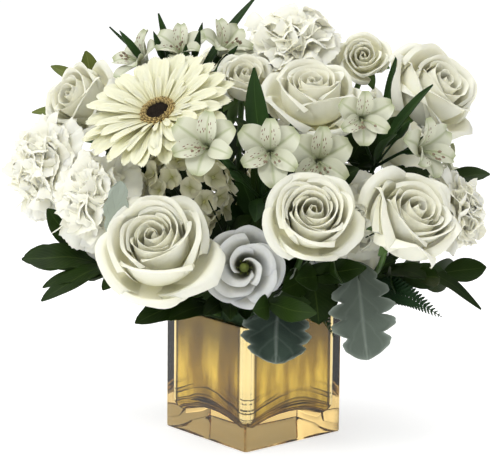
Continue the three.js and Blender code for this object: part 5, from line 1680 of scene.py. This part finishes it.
def bloom_pieces(kind, name, radius, n):
    """A bloom's pieces in its own frame: their names, meshes, finishes and nodes."""
    if kind == "rose":
        style = ROSES.get(name, dict(heart=9, wide=0.90, turn=0.7 * n))
        return [(name + "_petals", rose(radius, 100 + n, **style).mesh(name), "rose_petal", [name])]
    if kind == "lisianthus":
        return [
            (name + "_petals", lisianthus(radius, 200 + n).mesh(name), "lisianthus_petal", [name]),
            (name + "_throat", throat(radius), "olive_leaf", []),
        ]
    if kind == "carnation":
        mesh = carnation(radius, 30 + n, DROOPS.get(name, ()))
        return [(name + "_petals", mesh, "carnation_petal", [name])]
    if kind == "hydrangea":
        return [(name + "_florets", hydrangea(radius, 60 + n), "hydrangea_petal", [name])]
    return [
        ("gerbera_petals", gerbera(), "gerbera_petal", [name]),
        ("gerbera_eye", gerbera_disc(), "gerbera_disc", ["gerbera_disc"]),
    ]


def make_blooms():
    greens = {}
    for n, (kind, name, at, azimuth, elevation, radius, foot, *via) in enumerate(BLOOMS):
        depth, cup, stem_radius, low = KINDS[kind]
        matrix = stance(at, azimuth, elevation, depth * radius)
        for row in bloom_pieces(kind, name, radius, n):
            piece(*row, matrix=matrix)
        green = cup()
        green.transform(matrix)
        start = placed(matrix, (0, 0, -low))
        path = stem_path(start, -facing(azimuth, elevation), np.array(FEET[foot], float), via)
        greens.setdefault(foot, []).extend([green, tube(smooth_path(path), [stem_radius])])
    for foot, meshes in greens.items():
        piece("green_" + foot, joined("green", meshes), "green_stem", ["stems_" + foot])


def narrow_leaves(spray, n):
    sheets = Sheets()
    for k, (share, tip, width) in enumerate(spray["leaves"]):
        start = along_path(spray["path"], share)
        grid = leaf_grid(start, tip, width, arch=0.05, fold=0.3, peak=0.6, seed=500 + 10 * n + k, along=21)
        sheets.add(grid, tone=0.3 + 0.1 * k, thick=LEAF_THICK)
    return [sheets.mesh("narrow_leaves")] if spray["leaves"] else []


def make_sprays():
    for n, spray in enumerate(SPRAYS):
        fork = np.array(spray["path"][-1], float)
        green = [tube(smooth_path(spray["path"]), [1.8, 1.6], "lily_foliage")]
        threads, anthers = [], []
        for k, (name, at, azimuth, elevation, radius) in enumerate(spray["flowers"]):
            matrix = stance(at, azimuth, elevation, 0.5 * radius)
            mesh = alstroemeria(radius, 300 + 20 * n + k)
            piece(name + "_tepals", mesh, "alstroemeria_petal", [name], matrix)
            for group, mesh in zip((threads, anthers), stamens(radius, 400 + 20 * n + k)):
                mesh.transform(matrix)
                group.append(mesh)
            back, middle, neck = (placed(matrix, (0, 0, height)) for height in (-14, -5, 1.0))
            path = smooth_path([fork, back, middle, neck], 6)
            green.append(tube(path, [1.2, 1.2, 2.4, 3.0], "lily_foliage"))
        green += narrow_leaves(spray, n) + [bud(fork, tip) for tip in spray["buds"]]
        stem = spray["name"]
        piece(stem + "_green", joined("spray", green), "lily_foliage", [stem])
        piece(stem + "_filaments", joined("threads", threads), "alstroemeria_petal")
        piece(stem + "_anthers", joined("anthers", anthers), "anther")


# The way that a leaf's upper side looks, and how much the leaf arches.
SIDES = {
    "up": ((0.0, -0.7, 1.0), 0.08),
    "back": ((0.0, 0.7, 1.0), 0.08),
    "front": ((0.0, -1.0, 0.25), 0.05),
}
FELT_FACE = (0.0, -0.7, 1.0)
FELT_FACE_BACK = (0.0, 1.0, 0.6)


def bloom_balls():
    """The middle and radius of a ball round each bloom's petals. The leaves between them keep out of it."""
    balls = []
    for kind, name, at, azimuth, elevation, radius, *rest in BLOOMS:
        room = 14.0 if kind == "hydrangea" else 1.0
        balls.append((np.array(at, float) - 0.1 * radius * facing(azimuth, elevation), radius + room))
    for spray in SPRAYS:
        for name, at, azimuth, elevation, radius in spray["flowers"]:
            balls.append((np.array(at, float), 0.8 * radius))
    return balls


# The fill twigs: how many, the leaves of each, the place that they spread from, how far out their feet stand,
# and the share of the way to the blooms that they reach.
TWIG_COUNT = 44
TWIG_LEAVES = 8
TWIG_BASE = np.array([0.0, 0.0, 112.0])
TWIG_FEET = 20.0
TWIG_REACH = 0.86

# A leaf whose tip lies lower and nearer the axis than this would touch the vase.
VASE_CLEARANCE = (104.0, 80.0)


def twig_way(n):
    """Directions that cover the upper half evenly."""
    rise, turn = math.asin(0.12 + 0.86 * (n + 0.5) / TWIG_COUNT), GOLDEN * n
    return np.array([math.cos(turn) * math.cos(rise), math.sin(turn) * math.cos(rise), math.sin(rise)])


def twig_tip(way, balls):
    """A point nearly as far out as the blooms that lie this way."""
    ahead = np.array([middle for middle, wide in balls]) - TWIG_BASE
    far = np.linalg.norm(ahead, axis=1)
    weight = ((ahead / far[:, None]) @ way).clip(0.01) ** 12
    return TWIG_BASE + TWIG_REACH * float(np.sum(far * weight) / np.sum(weight)) * way


def has_room(start, leaf, balls):
    """Whether a leaf from this start stays clear of the blooms and the vase."""
    spots = [start + share * leaf for share in (0.35, 0.7, 1.0)]
    in_bloom = any(np.linalg.norm(spot - middle) < wide for spot in spots for middle, wide in balls)
    low, near = VASE_CLEARANCE
    tip = spots[-1]
    return not in_bloom and not (tip[2] < low and np.hypot(tip[0], tip[1]) < near)


def make_greenery():
    """Twigs of dark leaves that fill the middle of the arrangement, behind and between the blooms."""
    balls = bloom_balls()
    rng = np.random.RandomState(2024)
    parts, sheets = [], Sheets()
    for n in range(TWIG_COUNT):
        way = twig_way(n)
        tip = twig_tip(way, balls)
        foot = TWIG_BASE + TWIG_FEET * way * [1, 1, 0]
        path = smooth_path([foot, foot + 0.4 * (tip - foot) + [0, 0, 6.0], tip], 6)
        parts.append(tube(path, [1.1, 0.6], "glossy_leaf", 6))
        for k in range(TWIG_LEAVES):
            last = k == TWIG_LEAVES - 1
            start = along_path(path, 0.34 + 0.66 * k / (TWIG_LEAVES - 1))
            side = unit(np.cross(way, [0.0, 0.0, 1.0])) * (1 if k % 2 else -1)
            lean = unit(way * (3.0 if last else 1.0) + 1.1 * side + rng.uniform(-0.35, 0.35, 3))
            leaf = rng.uniform(34.0, 48.0) * lean
            if not has_room(start, leaf, balls):
                continue
            grid = leaf_grid(start, start + leaf, rng.uniform(17.0, 23.0), face=way, arch=0.06,
                             seed=900 + 10 * n + k, point=0.75, across=5, along=9)
            sheets.add(grid, tone=rng.uniform(0.0, 0.5), thick=LEAF_THICK)
    parts.append(sheets.mesh("leaves"))
    piece("greenery", joined("greenery", parts), "glossy_leaf")


def make_leafy_stems():
    for n, (name, (side, twigs)) in enumerate(TWIGS.items()):
        finish = "olive_leaf" if name.startswith("olive") else "glossy_leaf"
        face, arch = SIDES[side]
        parts, sheets = [], Sheets()
        rng = np.random.RandomState(700 + n)
        for path, radius, leaves in twigs:
            parts.append(tube(smooth_path(path), [radius, 0.7 * radius], finish, 8))
            for k, (share, tip, width, *peak) in enumerate(leaves):
                widest = peak[0] if peak else 0.5
                grid = leaf_grid(along_path(path, share), tip, width, face=face, peak=widest, arch=arch,
                                 seed=710 + 10 * n + k, point=0.75)
                sheets.add(grid, tone=rng.uniform(0.0, 0.6), thick=LEAF_THICK)
        parts.append(sheets.mesh("leaves"))
        piece(name + "_green", joined(name, parts), finish, [name])


def make_dusty_miller():
    for n, (name, (foot, blades)) in enumerate(LOBED.items()):
        face = FELT_FACE_BACK if name.endswith("back") else FELT_FACE
        parts, sheets = [], Sheets()
        for k, (start, tip, width, lobes, arch, tone) in enumerate(blades):
            grid = lobed_grid(start, tip, width, lobes, arch, face, seed=800 + 10 * n + k)
            sheets.add(grid, tone=tone, thick=0.7)
            parts.append(tube([foot, start], [1.4, 1.1], "silver_leaf", 8))
        parts.append(sheets.mesh("blades"))
        piece(name + "_felt", joined(name, parts), "silver_leaf", [name])


def make_ferns():
    for name, (foot, fronds) in FRONDS.items():
        parts = []
        for start, tip, width, pairs in fronds:
            parts.append(fern(start, tip, width, pairs))
            parts.append(tube([foot, start], [1.3, 0.9], "fern_leaf", 8))
        piece(name + "_green", joined(name, parts), "fern_leaf", [name])


make_vase()
make_foam()
make_blooms()
make_sprays()
make_leafy_stems()
make_dusty_miller()
make_ferns()
make_greenery()
clear_shelves()


# ---------------------------------------------------------------- stage and light

# The studio's glow by height: a place from the floor's side to the zenith, and a level.
GLOW = [(0.0, 0.20), (0.5, 0.32), (0.75, 0.50), (1.0, 0.60)]

# Patches of the studio: direction, cosine of the inner and outer edge, and brightness.
PATCHES = [
    ((-0.85, -0.35, 0.40), 0.93, 0.70, 1.25),
    ((0.90, 0.05, 0.35), 0.95, 0.80, 0.45),
    ((0.0, -1.0, 0.05), 0.96, 0.86, 0.05),
]

# Of each light: its name, place, size, power, colour and the point that it looks at.
LIGHTS = [
    ("key", (-0.7, -1.2, 1.7), (0.7, 0.7), 15.5, (1.0, 0.99, 0.95), (0.0, 0.0, 0.18)),
    ("fill", (1.2, -1.2, 0.8), (0.8, 0.8), 2.0, (0.97, 0.98, 1.0), (0.0, 0.0, 0.18)),
    ("top", (0.1, 0.5, 1.8), (1.6, 1.6), 12.0, (1.0, 1.0, 1.0), (0.0, 0.1, 0.0)),
]

FLOOR_REACH = 6.0
FLOOR_HEIGHT = -0.0003


def make_world():
    """A studio in the round: soft light from above and the left, less from the right, and dark behind the
    camera. The camera itself sees plain white, also through clear glass."""
    world = bpy.data.worlds.new("studio")
    world.use_nodes = True
    world.node_tree.nodes.clear()
    w = Nodes(world.node_tree)
    way = w.put("ShaderNodeTexCoord").outputs["Generated"]
    height = w.put("ShaderNodeSeparateXYZ", way).outputs[2]
    glow = w.fade(w.math("MULTIPLY_ADD", height, 0.5, 0.5), *GLOW)
    for spot, near, far, strength in PATCHES:
        dot = w.put("ShaderNodeVectorMath", way, tuple(unit(spot)), operation="DOT_PRODUCT").outputs["Value"]
        edges = {"From Min": far, "From Max": near, "To Min": 0.0, "To Max": 1.0}
        patch = w.put("ShaderNodeMapRange", dot, named=edges, interpolation_type="SMOOTHSTEP").outputs[0]
        glow = w.mix(patch, glow, grey(strength))
    light = w.put("ShaderNodeBackground", glow, 1.0).outputs[0]
    white = w.put("ShaderNodeBackground", (1.0, 1.0, 1.0, 1.0), 1.0).outputs[0]
    path = w.put("ShaderNodeLightPath").outputs
    direct = w.math("LESS_THAN", path["Glossy Depth"], 0.5)
    through = w.math("MULTIPLY", path["Is Transmission Ray"], direct)
    seen = w.math("MAXIMUM", path["Is Camera Ray"], through)
    w.put("ShaderNodeOutputWorld", w.put("ShaderNodeMixShader", seen, light, white).outputs[0])
    bpy.context.scene.world = world


def make_stage():
    finish = Finish("pale_floor", {
        "Roughness": 0.7,
        "Specular IOR Level": 0.2,
        "Emission Strength": 0.62,
        "Emission Color": (1.0, 1.0, 1.0, 1.0),
    })
    finish.paint(finish.fade(finish.noise(3.0, 2.0), (0.0, 0.68), (1.0, 0.71)))
    shape = bpy.data.meshes.new("floor")
    signs = [(-1, -1), (1, -1), (1, 1), (-1, 1)]
    corners = [(x * FLOOR_REACH, y * FLOOR_REACH, FLOOR_HEIGHT) for x, y in signs]
    shape.from_pydata(corners, [], [(0, 1, 2, 3)])
    shape.materials.append(finish.material)
    add_object("floor", shape)
    make_world()
    bpy.context.scene.view_settings.view_transform = "Standard"
    for row in LIGHTS:
        add_light(*row)


make_stage()
